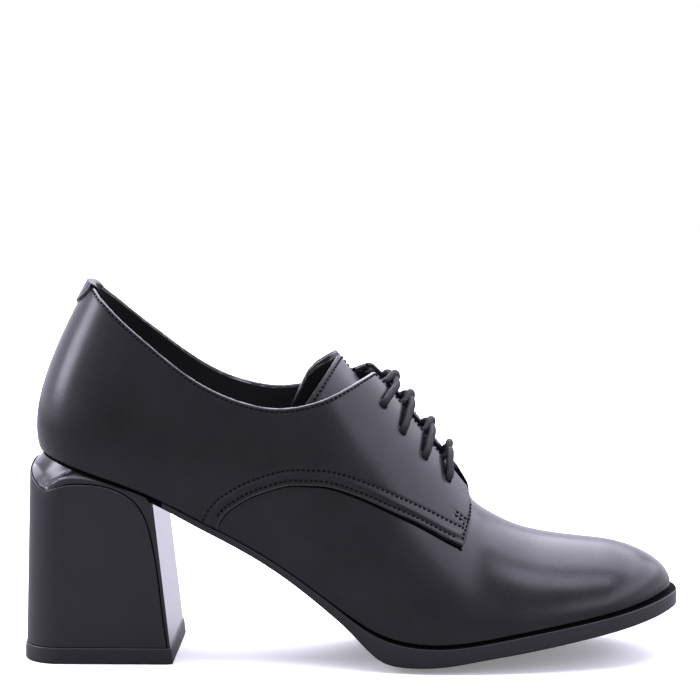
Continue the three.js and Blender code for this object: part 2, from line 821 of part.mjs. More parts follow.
function heelBlockSolid() {
  const section = (around, edge, inner, sag) => {
    const half = (side) => {
      const foot = heelPoint(around, side, BLOCK_FOOT);
      const panel = heelPoint(around, side, edge * SEAT_HEIGHT);
      const top = inner(side);
      const drop = sag * panel.distanceTo(top);
      const cup = Array.from({ length: CUP_STEPS - 1 }, (_, k) => {
        const way = (k + 1) / CUP_STEPS;
        const point = panel.clone().lerp(top, way);
        point.z -= drop * 4 * way * (1 - way);
        return point;
      });
      return [foot, panel, ...cup, top];
    };
    return [...half(-1), ...half(1).reverse()];
  };
  const foot = BLOCK_FOOT / SEAT_HEIGHT;
  const rings = [
    ...HEEL_SEAT.map(({ around, edge, seat }) =>
      section(around, edge, (side) => seatPoint(seat, side), CUP_SAG * smooth(...CUP_ENDS, around)),
    ),
    ...HEEL_BREAST.map(({ around, edge, corner }) =>
      section(around, edge, (side) => breastCorner(side, corner * SEAT_HEIGHT), 0),
    ),
    section(1, foot, (side) => breastCorner(side, BLOCK_FOOT), 0),
  ];
  return loft(rings, false, true);
}

const LIFT_EDGE_ROUND = 1.2;
const CORNER_PASSED = 0.5;

function topLiftSolid() {
  const corner = HEEL_SEAT.filter(({ around }) => around < CORNER_PASSED);
  const ring = (z, grow) => {
    const half = (side) => [
      ...corner.map(({ around }) => heelPoint(around, side, z, grow)),
      heelPoint(1, side, z, grow),
      breastCorner(side, z, grow),
    ];
    return [...half(-1), ...half(1).reverse()];
  };
  const rings = [
    ring(0, TOP_LIFT_MARGIN - LIFT_EDGE_ROUND / 2),
    ring(LIFT_EDGE_ROUND, TOP_LIFT_MARGIN),
    ring(TOP_LIFT_HEIGHT, TOP_LIFT_MARGIN),
  ];
  return loft(rings, true, true);
}

// Laces: at each pair of eyelets two strands cross and dip between the facings

const STRAND_SIDES = 4;
const STRAND_STEPS = 12;

function strandSolid(eyelet, side) {
  const points = STRAND.map(({ ahead, across, above }) => {
    const frame = quarterFrame(
      eyelet.along * SHOE_LENGTH + ahead * eyelet.ahead * LACE_RADIUS,
      side,
      across * eyelet.across * BALL_WIDTH,
    );
    return frame.point.addScaledVector(frame.normal, above * LACE_RADIUS);
  });
  const section = new THREE.Shape();
  section.absarc(0, 0, LACE_RADIUS, 0, 2 * Math.PI);
  const geometry = new THREE.ExtrudeGeometry(section, {
    extrudePath: new THREE.CatmullRomCurve3(points, false, "centripetal"),
    steps: STRAND_STEPS,
    curveSegments: STRAND_SIDES,
    bevelEnabled: false,
  });
  return solidOf(geometry);
}

const laceCrossing = (eyelet) => strandSolid(eyelet, -1).add(strandSolid(eyelet, 1));

// Materials

const leather = new THREE.MeshStandardMaterial({ color: 0x1b1b1e, roughness: 0.42, metalness: 0 });
const tongueLeather = new THREE.MeshStandardMaterial({ color: 0x1d1d20, roughness: 0.45, metalness: 0 });
const rubber = new THREE.MeshStandardMaterial({ color: 0x19191b, roughness: 0.62, metalness: 0 });
const lacquer = new THREE.MeshStandardMaterial({ color: 0x15171a, roughness: 0.12, metalness: 0 });
const cord = new THREE.MeshStandardMaterial({ color: 0x1a1a1c, roughness: 0.75, metalness: 0 });
const lining = new THREE.MeshStandardMaterial({ color: 0x121214, roughness: 0.8, metalness: 0 });

// Assembly

const shoe = new THREE.Group();

function add(name, solid, material) {
  const { vertProperties, triVerts } = solid.getMesh();
  const geometry = new THREE.BufferGeometry();
  geometry.setAttribute("position", new THREE.BufferAttribute(new Float32Array(vertProperties), 3));
  geometry.setIndex(new THREE.BufferAttribute(new Uint32Array(triVerts), 1));
  geometry.computeVertexNormals();
  const mesh = new THREE.Mesh(geometry, material);
  mesh.name = name;
  shoe.add(mesh);
}

add("upper", upperSolid(), leather);
add("tongue", tongueSolid(), tongueLeather);
add("back_tab", backTabSolid(), leather);
add("insole", insoleSolid(), lining);
add("outsole", outsoleSolid(), rubber);
add("heel_block", heelBlockSolid(), lacquer);
add("top_lift", topLiftSolid(), rubber);
EYELETS.forEach((eyelet, i) => add(`lace_crossing_${i + 1}`, laceCrossing(eyelet), cord));

// The origin lies under the middle of the shoe's box.
const middle = new THREE.Box3().setFromObject(shoe).getCenter(new THREE.Vector3());
shoe.position.set(-middle.x, -middle.y, 0);

export default shoe;
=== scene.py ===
"""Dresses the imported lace-up shoe in fine leather, cord, rubber and lacquer, and sets it in a studio."""

import math

import bmesh
import bpy
import numpy as np
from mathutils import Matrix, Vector
from mathutils.kdtree import KDTree


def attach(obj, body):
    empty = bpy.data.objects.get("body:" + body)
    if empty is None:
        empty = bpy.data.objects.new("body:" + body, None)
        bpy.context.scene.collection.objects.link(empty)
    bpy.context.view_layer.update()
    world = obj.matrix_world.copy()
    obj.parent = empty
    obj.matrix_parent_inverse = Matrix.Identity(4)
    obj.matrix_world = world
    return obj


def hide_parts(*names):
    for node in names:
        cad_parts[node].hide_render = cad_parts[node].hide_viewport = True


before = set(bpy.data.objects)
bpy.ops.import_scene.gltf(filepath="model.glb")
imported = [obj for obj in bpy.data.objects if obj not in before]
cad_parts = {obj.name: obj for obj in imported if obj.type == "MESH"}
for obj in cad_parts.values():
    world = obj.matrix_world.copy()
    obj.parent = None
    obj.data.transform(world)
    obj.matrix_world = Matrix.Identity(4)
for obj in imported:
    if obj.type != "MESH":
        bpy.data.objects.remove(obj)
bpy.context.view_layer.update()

# Lengths below are millimetres in the last's own frame: +X to the toe, +Y to the inner side.
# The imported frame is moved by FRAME_SHIFT, so that its origin lies under the shoe's middle.

MM = 0.001
FRAME_SHIFT = np.array([-0.02, -0.8355, 0.0])

# Named sizes

SHOE_LENGTH = 241.6
BALL_WIDTH = 80.0
SEAT_HEIGHT = 76.5
INSTEP_HEIGHT = 104.0
HEEL_SETBACK = 5.5
TOE_MARGIN = 2.7
UPPER_WALL = 1.5
QUARTER_STEP = 0.8
FACING_LIFT = 4.0
MEDIAL_RISE = 1.9
THROAT_HALF_GAP = 7.5
EYELET_RADIUS = 1.8
TONGUE_THICKNESS = 1.8
TONGUE_SINK = 2.9
TAB_THICKNESS = 0.8
TAB_HALF_WIDTH = 9.5
TAB_DROP = 6.5
INSOLE_THICKNESS = 3.0
SOLE_CROWN = 2.6
SOLE_RIM_STEP = 1.3
FOREPART_MARGIN = 1.6
LACE_RADIUS = 1.4
TOP_LIFT_HEIGHT = 6.0
TOP_LIFT_MARGIN = 0.4
HEEL_LENGTH = 53.0
HEEL_HALF_WIDTH = 26.0
HEEL_CORNER = 14.0
HEEL_BACK_LEAN = 0.03
BREAST_FOOT = 55.5
BREAST_LEAN = 0.112
BREAST_BEVEL = 0.9
SEAT_INSET = 0.8
GAP = 0.3
LAST_LENGTH = SHOE_LENGTH - HEEL_SETBACK - TOE_MARGIN

# Curve helpers


def natural_spline(xs, ys):
    """A natural cubic spline through the points, held level beyond its ends."""
    xs, ys = np.array(xs, float), np.array(ys, float)
    count = len(xs) - 1
    step = np.diff(xs)
    slope = np.diff(ys) / step
    system = np.eye(count + 1)
    pull = np.zeros(count + 1)
    for i in range(1, count):
        system[i, i - 1 : i + 2] = step[i - 1], 2 * (step[i - 1] + step[i]), step[i]
        pull[i] = 6 * (slope[i] - slope[i - 1])
    bend = np.linalg.solve(system, pull)

    def value(x):
        held = np.clip(x, xs[0], xs[-1])
        i = np.clip(np.searchsorted(xs, held) - 1, 0, count - 1)
        a = (xs[i + 1] - held) / step[i]
        b = 1 - a
        bends = ((a**3 - a) * bend[i] + (b**3 - b) * bend[i + 1]) * step[i] ** 2 / 6
        return a * ys[i] + b * ys[i + 1] + bends

    return value


def table(names, rows):
    columns = np.array(rows, float).T
    return {name: natural_spline(columns[0], column) for name, column in zip(names, columns[1:])}


def smooth(low, high, x):
    k = np.clip((np.asarray(x, float) - low) / (high - low), 0, 1)
    return k * k * (3 - 2 * k)


def mix(a, b, k):
    return a + (b - a) * k


def side_view(rows):
    """Table rows of x and z shares as places in the side view."""
    rows = np.array(rows, float)
    return np.stack([rows[:, 0] * SHOE_LENGTH - SHOE_LENGTH / 2, rows[:, 1] * INSTEP_HEIGHT], 1)


def rounded_path(points, count):
    """An even-parameter Catmull-Rom curve through the points."""
    points = np.asarray(points, float)
    last = len(points) - 1
    way = np.linspace(0, last, count)
    i = np.minimum(way.astype(int), last - 1)
    t = (way - i)[:, None]
    before, start = points[np.maximum(i - 1, 0)], points[i]
    end, after = points[i + 1], points[np.minimum(i + 2, last)]
    v0, v1 = (end - before) / 2, (after - start) / 2
    return (
        (2 * start - 2 * end + v0 + v1) * t**3
        + (-3 * start + 3 * end - 2 * v0 - v1) * t**2
        + v0 * t
        + start
    )


def lengths_along(points):
    steps = np.linalg.norm(np.diff(points, axis=0), axis=1)
    return np.concatenate([[0], np.cumsum(steps)])


def resample(points, places):
    """Points of a polyline at the given distances along it."""
    along = lengths_along(points)
    return np.stack([np.interp(places, along, points[:, k]) for k in range(points.shape[1])], 1)


def evenly(points, count):
    """A polyline as so many evenly spaced points."""
    return resample(points, np.linspace(0, lengths_along(points)[-1], count))


# The last: feather line, ridge and wall sections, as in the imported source

FEATHER = table(
    ["height", "lateral", "medial"],
    [
        [0.0, 1.0, 0.3, 0.3], [0.0435, 0.957, 0.306, 0.306], [0.0968, 0.905, 0.312, 0.31],
        [0.1824, 0.808, 0.318, 0.31], [0.2549, 0.7, 0.325, 0.3], [0.3304, 0.582, 0.342, 0.288],
        [0.4049, 0.444, 0.373, 0.293], [0.4664, 0.314, 0.412, 0.322], [0.5338, 0.187, 0.45, 0.387],
        [0.5973, 0.138, 0.474, 0.45], [0.6627, 0.141, 0.479, 0.49], [0.7372, 0.177, 0.461, 0.5],
        [0.8127, 0.217, 0.42, 0.48], [0.8852, 0.256, 0.36, 0.433], [0.9456, 0.294, 0.296, 0.37],
        [1, 0.331, 0.235, 0.305],
    ],
)
RIDGE = table(
    ["height", "side"],
    [
        [0.13, 1.555, 0.0], [0.18, 1.55, 0.0], [0.2449, 1.538, 0.0], [0.3355, 1.52, 0.003],
        [0.3959, 1.42, 0.006], [0.4362, 1.278, 0.01], [0.4714, 1.158, 0.014], [0.5238, 1.0, 0.018],
        [0.56, 0.904, 0.02], [0.5973, 0.795, 0.023], [0.6375, 0.678, 0.026], [0.6667, 0.594, 0.029],
        [0.6869, 0.541, 0.031], [0.713, 0.499, 0.033], [0.7584, 0.451, 0.036],
        [0.8087, 0.425, 0.037], [0.859, 0.411, 0.036], [0.9094, 0.402, 0.035],
    ],
)
WALL = table(
    ["ridge_along", "swell", "rise", "shoulder", "drop"],
    [
        [0.0, 0.1355, 0.081, 0.24, 0.533, 0.352], [0.0737, 0.158, 0.078, 0.29, 0.66, 0.23],
        [0.1542, 0.2, 0.062, 0.36, 0.79, 0.1], [0.2449, 0.263, 0.05, 0.4, 0.86, 0.02],
        [0.3355, 0.3375, 0.045, 0.42, 0.88, 0.0], [0.4362, 0.4362, 0.035, 0.42, 0.84, 0.0],
        [0.5268, 0.5268, 0.02, 0.42, 0.74, 0.0], [0.6174, 0.6174, 0.01, 0.42, 0.6, 0.0],
        [0.6979, 0.6979, 0.012, 0.42, 0.52, 0.0], [0.7785, 0.7745, 0.014, 0.42, 0.5, 0.0],
        [0.859, 0.8349, 0.013, 0.42, 0.48, 0.0], [0.9295, 0.8711, 0.014, 0.45, 0.46, 0.01],
        [1, 0.8872, 0.024, 0.5, 0.41, 0.05],
    ],
)
SOLE = table(
    ["depth", "margin", "crown"],
    [
        [0.0, 0.029, -0.3, 0.0], [0.1844, 0.034, -0.3, 0.0], [0.2549, 0.039, 0.0, 0.1],
        [0.3355, 0.04, 0.05, 0.3], [0.406, 0.045, 0.1, 0.5], [0.4613, 0.056, 0.3, 0.7],
        [0.4986, 0.076, 0.6, 0.8], [0.5187, 0.101, 0.75, 0.85], [0.5399, 0.122, 0.85, 0.9],
        [0.5681, 0.12, 0.95, 1.0], [0.6023, 0.109, 1.0, 1.0], [0.6406, 0.1, 1.0, 1.0],
        [0.6904, 0.091, 1.0, 0.95], [0.7523, 0.093, 1.0, 0.9], [0.8641, 0.091, 1.1, 0.8],
        [1, 0.091, 1.69, 0.7],
    ],
)
TOPLINE = np.array(
    [
        [-0.05, 1.36, 0], [0.06, 1.345, 0], [0.1, 1.325, 0], [0.12, 1.284, 0], [0.159, 1.201, 0],
        [0.198, 1.126, 0.002], [0.234, 1.058, 0.006], [0.27, 1.0, 0.01], [0.307, 0.956, 0.014],
        [0.343, 0.927, 0.019], [0.379, 0.911, 0.024], [0.415, 0.914, 0.028], [0.452, 0.934, 0.028],
        [0.475, 0.955, 0.026], [0.497, 0.979, 0.024], [0.515, 1.0, 0.023], [0.53, 1.016, 0.02],
        [0.55, 1.04, 0.015],
    ]
)
QUARTER_EDGE = side_view(
    [
        [0.284, 0.4], [0.298, 0.478], [0.313, 0.535], [0.334, 0.572], [0.357, 0.601],
        [0.402, 0.636], [0.437, 0.641], [0.471, 0.635], [0.516, 0.6], [0.561, 0.552], [0.6, 0.509],
        [0.643, 0.454], [0.6655, 0.429],
    ]
)
FACING_FRONT = side_view(
    [
        [0.6655, 0.429], [0.672, 0.447], [0.6805, 0.505], [0.6825, 0.548], [0.6797, 0.587],
        [0.668, 0.637], [0.655, 0.69],
    ]
)
TONGUE_EDGE = {
    -1: side_view([[0.4966, 1.1], [0.487, 1.0935], [0.4785, 1.074], [0.36, 0.68]]),
    1: side_view(
        [
            [0.4966, 1.1], [0.487, 1.0935], [0.4745, 1.0825], [0.4574, 1.056], [0.442, 1.031],
            [0.428, 0.996], [0.415, 0.935], [0.36, 0.68],
        ]
    ),
}
TONGUE_FOOT = side_view([[0.36, 0.68], [0.5, 0.62], [0.62, 0.44], [0.715, 0.36]])
EYELETS = [[0.5477, 0.226, 0.8], [0.5768, 0.241, 0.4], [0.61, 0.233, 0.3], [0.6452, 0.209, -0.2]]
STRAND = [
    [0, 1, -0.9], [0.05, 0.985, 0.35], [0.4, 0.91, 1.0], [1.7, 0.68, 1.25], [2.7, 0.4, 1.65],
    [2.3, 0.04, 1.3], [1.2, -0.23, 0.2], [0.8, -0.28, -1.3],
]
HEEL_SEAT = np.array(
    [
        [0, 0.952, 0], [0.055, 0.949, 0.0012], [0.11, 0.941, 0.0045], [0.164, 0.928, 0.0095],
        [0.21, 0.91, 0.0155], [0.26, 0.885, 0.0256], [0.315, 0.856, 0.0386], [0.367, 0.829, 0.049],
        [0.4, 0.839, 0.056], [0.44, 0.851, 0.062], [0.484, 0.861, 0.07], [0.563, 0.864, 0.084],
        [0.642, 0.8575, 0.103], [0.711, 0.8405, 0.122], [0.781, 0.808, 0.143], [0.829, 0.77, 0.158],
        [0.864, 0.7215, 0.169], [0.894, 0.6495, 0.182],
    ]
)
HEEL_BREAST = np.array(
    [
        [0.894, 0.6495, 0.78], [0.917, 0.5635, 0.7], [0.945, 0.42, 0.5], [0.968, 0.265, 0.29],
        [1, 0.082, 0.082],
    ]
)
HEEL_CENTRE = np.array([-90.0, 0, 0])

HEEL_ROUND, HEEL_ROUND_POWER = 0.115, 2.15
TOE_ROUND, TOE_ROUND_POWER = 0.11, 2.35
TOE_SWING_START = 0.8
OFFSET_FADE = 0.55
STEEPEST = 1.9
NUDGE = 0.003


def place_along(share):
    return HEEL_SETBACK + share * LAST_LENGTH - SHOE_LENGTH / 2


def share_at(x):
    return (x + SHOE_LENGTH / 2 - HEEL_SETBACK) / LAST_LENGTH


def plan_round(share):
    heel = 1 - np.clip(share / HEEL_ROUND, 0, 1)
    toe = 1 - np.clip((1 - share) / TOE_ROUND, 0, 1)
    opened = np.maximum(0, 1 - heel**HEEL_ROUND_POWER) ** (1 / HEEL_ROUND_POWER)
    return opened * np.maximum(0, 1 - toe**TOE_ROUND_POWER) ** (1 / TOE_ROUND_POWER)


def station(share, side):
    """Feather point, ridge point, outward direction and ridge steepness of wall sections."""
    share, side = np.broadcast_arrays(np.asarray(share, float), np.asarray(side, float))
    width = np.where(side < 0, FEATHER["lateral"](share), FEATHER["medial"](share)) * BALL_WIDTH
    toe_tip = (FEATHER["medial"](1.0) - FEATHER["lateral"](1.0)) / 2 * BALL_WIDTH
    middle = toe_tip * smooth(TOE_SWING_START, 1, share)
    feather = np.stack(
        [
            place_along(share),
            middle + (side * width - middle) * plan_round(share),
            FEATHER["height"](share) * SEAT_HEIGHT,
        ],
        -1,
    )
    at = WALL["ridge_along"](share)
    height_at = lambda place: RIDGE["height"](place) * INSTEP_HEIGHT
    ridge = np.stack([place_along(at), RIDGE["side"](at) * BALL_WIDTH, height_at(at)], -1)
    slope = (height_at(at + NUDGE) - height_at(at - NUDGE)) / (2 * NUDGE * LAST_LENGTH)
    away = feather[..., :2] - ridge[..., :2]
    outward = away / np.linalg.norm(away, axis=-1, keepdims=True)
    return feather, ridge, outward, np.minimum(np.hypot(1, slope), STEEPEST)


def foot_point(share, side, out):
    feather, _, outward, _ = station(share, side)
    out = np.asarray(out, float)
    lower = FEATHER["height"](share + outward[..., 0] * out / LAST_LENGTH) * SEAT_HEIGHT
    place = feather[..., :2] + outward * out[..., None]
    return np.concatenate([place, lower[..., None]], -1)


def last_point(share, side, climb, offset=0.0, lift=0.0):
    """A point of the last's surface: climb runs from 0 at the feather line to 1 at the ridge."""
    share, side, climb, offset, lift = np.broadcast_arrays(
        *(np.asarray(value, float) for value in (share, side, climb, offset, lift))
    )
    feather, ridge, outward, steep = station(share, side)
    height = ridge[..., 2] - feather[..., 2]
    swell = WALL["swell"](share) * BALL_WIDTH
    shoulder = WALL["shoulder"](share)
    raised = offset * steep + lift
    fade = OFFSET_FADE * offset
    foot = foot_point(share, side, offset)
    flank = np.stack(
        [
            feather[..., 0] + outward[..., 0] * (swell + offset),
            feather[..., 1] + outward[..., 1] * (swell + offset),
            feather[..., 2] + WALL["rise"](share) * height + fade,
        ],
        -1,
    )
    shoulder_point = np.stack(
        [
            mix(ridge[..., 0], feather[..., 0], shoulder) + outward[..., 0] * fade,
            mix(ridge[..., 1], feather[..., 1], shoulder) + outward[..., 1] * fade,
            ridge[..., 2] - WALL["drop"](share) * height + raised,
        ],
        -1,
    )
    crest = np.stack([ridge[..., 0], ridge[..., 1], ridge[..., 2] + raised], -1)
    c = climb[..., None]
    left = 1 - c
    return foot * left**3 + flank * 3 * c * left**2 + shoulder_point * 3 * c**2 * left + crest * c**3


def lifted_by(share, side, ends):
    full = np.where(np.asarray(side) > 0, FACING_LIFT + MEDIAL_RISE, FACING_LIFT)
    return full * smooth(0.3, 0.44, share) * (1 - smooth(*ends, share))


def facing_lift(share, side):
    return lifted_by(share, side, (0.7, 0.76))


def inner_lift(share, side):
    return lifted_by(share, side, (0.655, 0.7))


def quarter_skin(share, side, climb):
    return last_point(share, side, climb, QUARTER_STEP, facing_lift(share, side))


def quarter_back(share, side, climb):
    return last_point(share, side, climb, -UPPER_WALL, inner_lift(share, side))


def even_shares(start, end, count, side=-1):
    """Shares from start to end, evenly spaced along the feather line in plan."""
    fine = (1 - np.cos(np.linspace(0, math.pi, 4001))) / 2
    way = lengths_along(foot_point(fine, side, np.zeros(len(fine)))[:, :2])
    low, high = np.interp([start, end], fine, way)
    return np.interp(np.linspace(low, high, count), way, fine)


# Outlines on the last

THROAT_FRONT, THROAT_CORNER, THROAT_TOP, CORNER_FLARE = 0.684, 0.553, 0.49, 9.0


def topline_height(x, side, raised=0.0):
    rows = TOPLINE.copy()
    rows[:, 1] += np.where(side > 0, rows[:, 2], 0)
    line = rounded_path(side_view(rows[:, :2]), 400)
    height = np.interp(x, line[:, 0], line[:, 1])
    return np.where(x > line[-1, 0], 1e3, height) + raised


def slot_half(x):
    """Half the width of the gap between the facings."""
    way = (x + SHOE_LENGTH / 2) / SHOE_LENGTH
    past = np.clip((THROAT_CORNER - way) / (THROAT_CORNER - THROAT_TOP), 0, 1)
    half = THROAT_HALF_GAP + CORNER_FLARE * past * past
    return np.where((way < THROAT_TOP) | (way > THROAT_FRONT), -1.0, half)


def from_ridge(points):
    return np.abs(points[..., 1] - RIDGE["side"](share_at(points[..., 0])) * BALL_WIDTH)


def last_kept(share, side, kept, low, high, halvings=34):
    """Bisects for the highest climb that is still kept, column by column."""
    low, high = np.full(len(share), float(low)), np.full(len(share), float(high))
    for _ in range(halvings):
        middle = (low + high) / 2
        inside = kept(share, side, middle)
        low, high = np.where(inside, middle, low), np.where(inside, high, middle)
    return low


def top_climb(share, side, skin, inset=0.0):
    """Where the collar and the facing edge end the quarters, moved in by inset."""

    def kept(s, d, c):
        p = skin(s, d, c)
        below = p[:, 2] < topline_height(p[:, 0], d, -inset)
        return below & (from_ridge(p) > slot_half(p[:, 0]) + inset * (slot_half(p[:, 0]) > 0))

    return last_kept(share, side, kept, 0.05, 1)


def low_climb(share, side, skin):
    """Where the quarters' lower edge lies on each wall section."""
    line = rounded_path(QUARTER_EDGE, 600)

    def below(s, d, c):
        p = skin(s, d, c)
        return (p[:, 0] > line[0, 0]) & (p[:, 2] < np.interp(p[:, 0], line[:, 0], line[:, 1]))

    found = last_kept(share, side, below, 0, 0.95)
    starts_inside = ~below(share, side, np.zeros(len(share)))
    return np.where(starts_inside, 0, found)


def on_skin(places, side, skin, rounds=14):
    """The share and climb of the points of a skin that lie at the given side-view places."""
    share = share_at(places[:, 0])
    for _ in range(rounds):
        climb = last_kept(share, side, lambda s, d, c: skin(s, d, c)[:, 2] < places[:, 1], 0, 1, 26)
        share = share + (places[:, 0] - skin(share, side, climb)[:, 0]) / LAST_LENGTH
    return share, climb


# Mesh helpers


def grid_faces(rows, columns, wrap=False):
    """Quads of a grid of points numbered row by row."""
    i = np.arange(rows - 1)[:, None]
    j = np.arange(columns if wrap else columns - 1)[None, :]
    a = i * columns + j
    b = i * columns + (j + 1) % columns
    return np.stack([a, b, b + columns, a + columns], -1).reshape(-1, 4)


def sheet(points, number=0, flip=False, wrap=False):
    """A grid of points as a part: its points, its faces and its material number."""
    faces = grid_faces(*points.shape[:2], wrap=wrap)
    return points, faces[:, ::-1] if flip else faces, number


def flipped(parts):
    return [(points, faces[:, ::-1], number) for points, faces, number in parts]


def between(start, end, steps):
    """A grid that joins two lines, with a column for each step from one to the other."""
    return np.stack([mix(start, end, k) for k in steps], 1)


def drawn(places, known, grid):
    """The grid's rows read again at other places along them."""
    return np.stack([np.interp(places, known, line) for line in grid.T], 1)


def grid_normals(points):
    """Unit normals of a grid of points, from its own rows and columns."""
    down = np.gradient(points, axis=0)
    across = np.gradient(points, axis=1)
    normal = np.cross(across, down)
    return normal / np.maximum(np.linalg.norm(normal, axis=-1, keepdims=True), 1e-9)


def make_piece(name, parts, materials, nodes, weld=0.004, sharp=None):
    """One object from (points, faces, material number) parts, in place of the CAD nodes."""
    points = np.concatenate([np.reshape(part[0], (-1, 3)) for part in parts])
    faces, numbers, start = [], [], 0
    for part_points, part_faces, number in parts:
        faces.append(np.asarray(part_faces) + start)
        numbers.append(np.full(len(part_faces), number))
        start += len(np.reshape(part_points, (-1, 3)))
    mesh = bpy.data.meshes.new(name)
    placed = (points + FRAME_SHIFT) * MM
    mesh.from_pydata(placed.tolist(), [], [face for block in faces for face in block.tolist()])
    mesh.polygons.foreach_set("material_index", np.concatenate(numbers).astype(np.int32))
    for material in materials:
        mesh.materials.append(material)
    piece = bpy.data.objects.new(name, mesh)
    bpy.context.scene.collection.objects.link(piece)
    tidy_mesh(mesh, weld)
    mesh.polygons.foreach_set("use_smooth", np.ones(len(mesh.polygons), bool))
    if sharp is not None:
        mesh.set_sharp_from_angle(angle=math.radians(sharp))
    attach(piece, "root")
    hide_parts(*nodes)
    return piece


def tidy_mesh(mesh, weld):
    """Welds points that lie together and drops faces that have no area."""
    work = bmesh.new()
    work.from_mesh(mesh)
    bmesh.ops.remove_doubles(work, verts=work.verts, dist=weld * MM)
    bmesh.ops.dissolve_degenerate(work, edges=work.edges, dist=weld * MM / 2)
    work.to_mesh(mesh)
    work.free()
    mesh.update()


def near_line(line, spacing=0.15):
    """A search tree over a polyline, resampled closely."""
    total = lengths_along(line)[-1]
    fine = resample(line, np.linspace(0, total, max(2, int(total / spacing))))
    tree = KDTree(len(fine))
    for i, point in enumerate(fine):
        tree.insert(point, i)
    tree.balance()
    return tree


def distance_to(points, line):
    tree = near_line(line)
    flat = points.reshape(-1, 3)
    return np.array([tree.find(p)[2] for p in flat]).reshape(points.shape[:-1])


def edge_roll(distance, radius):
    """How far a rolled edge has dropped, at a distance in from it."""
    way = np.clip(1 - distance / radius, 0, 1)
    return radius * (1 - np.sqrt(1 - way * way))


def channel(distance, depth, width):
    return depth * np.exp(-((distance / width) ** 2))


def spaced(total, first, last, count):
    """Places from 0 to 1 whose first and last steps are the fine ones given, in millimetres."""
    total = np.atleast_1d(total)[:, None]
    first = np.broadcast_to(first, (len(total), np.shape(first)[-1]))
    last = np.asarray(last, float)
    inner = np.linspace(0, 1, count + 2)[1:-1]
    middle = first[:, -1:] + (total - first[:, -1:] - last[-1]) * inner
    return np.concatenate([first, middle, total - last[::-1]], 1) / total


# Materials


def new_material(name):
    material = bpy.data.materials.new(name)
    material.use_nodes = True
    tree = material.node_tree
    return material, tree.nodes, tree.links, tree.nodes["Principled BSDF"]


def new_group(name, inputs, outputs):
    """A shader node group with named float inputs and float or colour outputs."""
    group = bpy.data.node_groups.new(name, "ShaderNodeTree")
    for title, value in inputs:
        socket = group.interface.new_socket(title, in_out="INPUT", socket_type="NodeSocketFloat")
        socket.default_value = value
    for title, kind in outputs:
        group.interface.new_socket(title, in_out="OUTPUT", socket_type=kind)
    nodes = group.nodes
    return group, nodes, group.links, nodes.new("NodeGroupInput"), nodes.new("NodeGroupOutput")


def object_noise(nodes, links, scale, detail=3.0, roughness=0.5, kind="ShaderNodeTexNoise"):
    place = nodes.new("ShaderNodeTexCoord")
    noise = nodes.new(kind)
    noise.inputs["Scale"].default_value = scale
    if kind == "ShaderNodeTexNoise":
        noise.inputs["Detail"].default_value = detail
        noise.inputs["Roughness"].default_value = roughness
    links.new(place.outputs["Object"], noise.inputs["Vector"])
    return noise


def math_node(nodes, links, operation, a, b=None):
    node = nodes.new("ShaderNodeMath")
    node.operation = operation
    for socket, value in zip(node.inputs, (a, b)):
        if value is None:
            continue
        if isinstance(value, (int, float)):
            socket.default_value = value
        else:
            links.new(value, socket)
    return node.outputs[0]


def build_hide_grain():
    """Fine pores and soft unevenness of a polished hide, as a height."""
    group, nodes, links, given, out = new_group(
        "hide_grain",
        [("Pore Scale", 1100.0), ("Pore Depth", 0.5), ("Unevenness", 0.3)],
        [("Height", "NodeSocketFloat"), ("Mottle", "NodeSocketFloat")],
    )
    pebbles = object_noise(nodes, links, 1500.0, kind="ShaderNodeTexVoronoi")
    pebbles.feature = "SMOOTH_F1"
    links.new(given.outputs["Pore Scale"], pebbles.inputs["Scale"])
    fine = object_noise(nodes, links, 2600.0, 2.0)
    soft = object_noise(nodes, links, 60.0, 2.0)
    grain = math_node(nodes, links, "ADD", pebbles.outputs["Distance"], fine.outputs["Fac"])
    grain = math_node(nodes, links, "MULTIPLY", grain, given.outputs["Pore Depth"])
    waves = math_node(nodes, links, "MULTIPLY", soft.outputs["Fac"], given.outputs["Unevenness"])
    links.new(math_node(nodes, links, "ADD", grain, waves), out.inputs["Height"])
    mottle = object_noise(nodes, links, 60.0, 4.0, 0.6)
    links.new(mottle.outputs["Fac"], out.inputs["Mottle"])
    return group


def build_satin_wear():
    """Small scuffs that vary the roughness of a smooth surface."""
    group, nodes, links, given, out = new_group(
        "satin_wear",
        [("Base", 0.3), ("Range", 0.1), ("Scale", 90.0)],
        [("Roughness", "NodeSocketFloat"), ("Height", "NodeSocketFloat")],
    )
    noise = object_noise(nodes, links, 90.0, 5.0, 0.6)
    links.new(given.outputs["Scale"], noise.inputs["Scale"])
    spread = math_node(nodes, links, "SUBTRACT", noise.outputs["Fac"], 0.5)
    change = math_node(nodes, links, "MULTIPLY", spread, given.outputs["Range"])
    links.new(math_node(nodes, links, "ADD", change, given.outputs["Base"]), out.inputs["Roughness"])
    dust = object_noise(nodes, links, 2600.0, 3.0)
    links.new(dust.outputs["Fac"], out.inputs["Height"])
    return group


HIDE_GRAIN = build_hide_grain()
SATIN_WEAR = build_satin_wear()


def use_group(nodes, group, **values):
    node = nodes.new("ShaderNodeGroup")
    node.node_tree = group
    for title, value in values.items():
        node.inputs[title.replace("_", " ")].default_value = value
    return node


def add_bump(nodes, links, shader, height, strength, distance):
    bump = nodes.new("ShaderNodeBump")
    bump.inputs["Strength"].default_value = strength
    bump.inputs["Distance"].default_value = distance * MM
    links.new(height, bump.inputs["Height"])
    links.new(bump.outputs["Normal"], shader.inputs["Normal"])


def colour_between(nodes, links, factor, dark, light):
    ramp = nodes.new("ShaderNodeValToRGB")
    ramp.color_ramp.elements[0].position = 0.3
    ramp.color_ramp.elements[1].position = 0.75
    ramp.color_ramp.elements[0].color = (*dark, 1)
    ramp.color_ramp.elements[1].color = (*light, 1)
    links.new(factor, ramp.inputs["Fac"])
    return ramp.outputs["Color"]


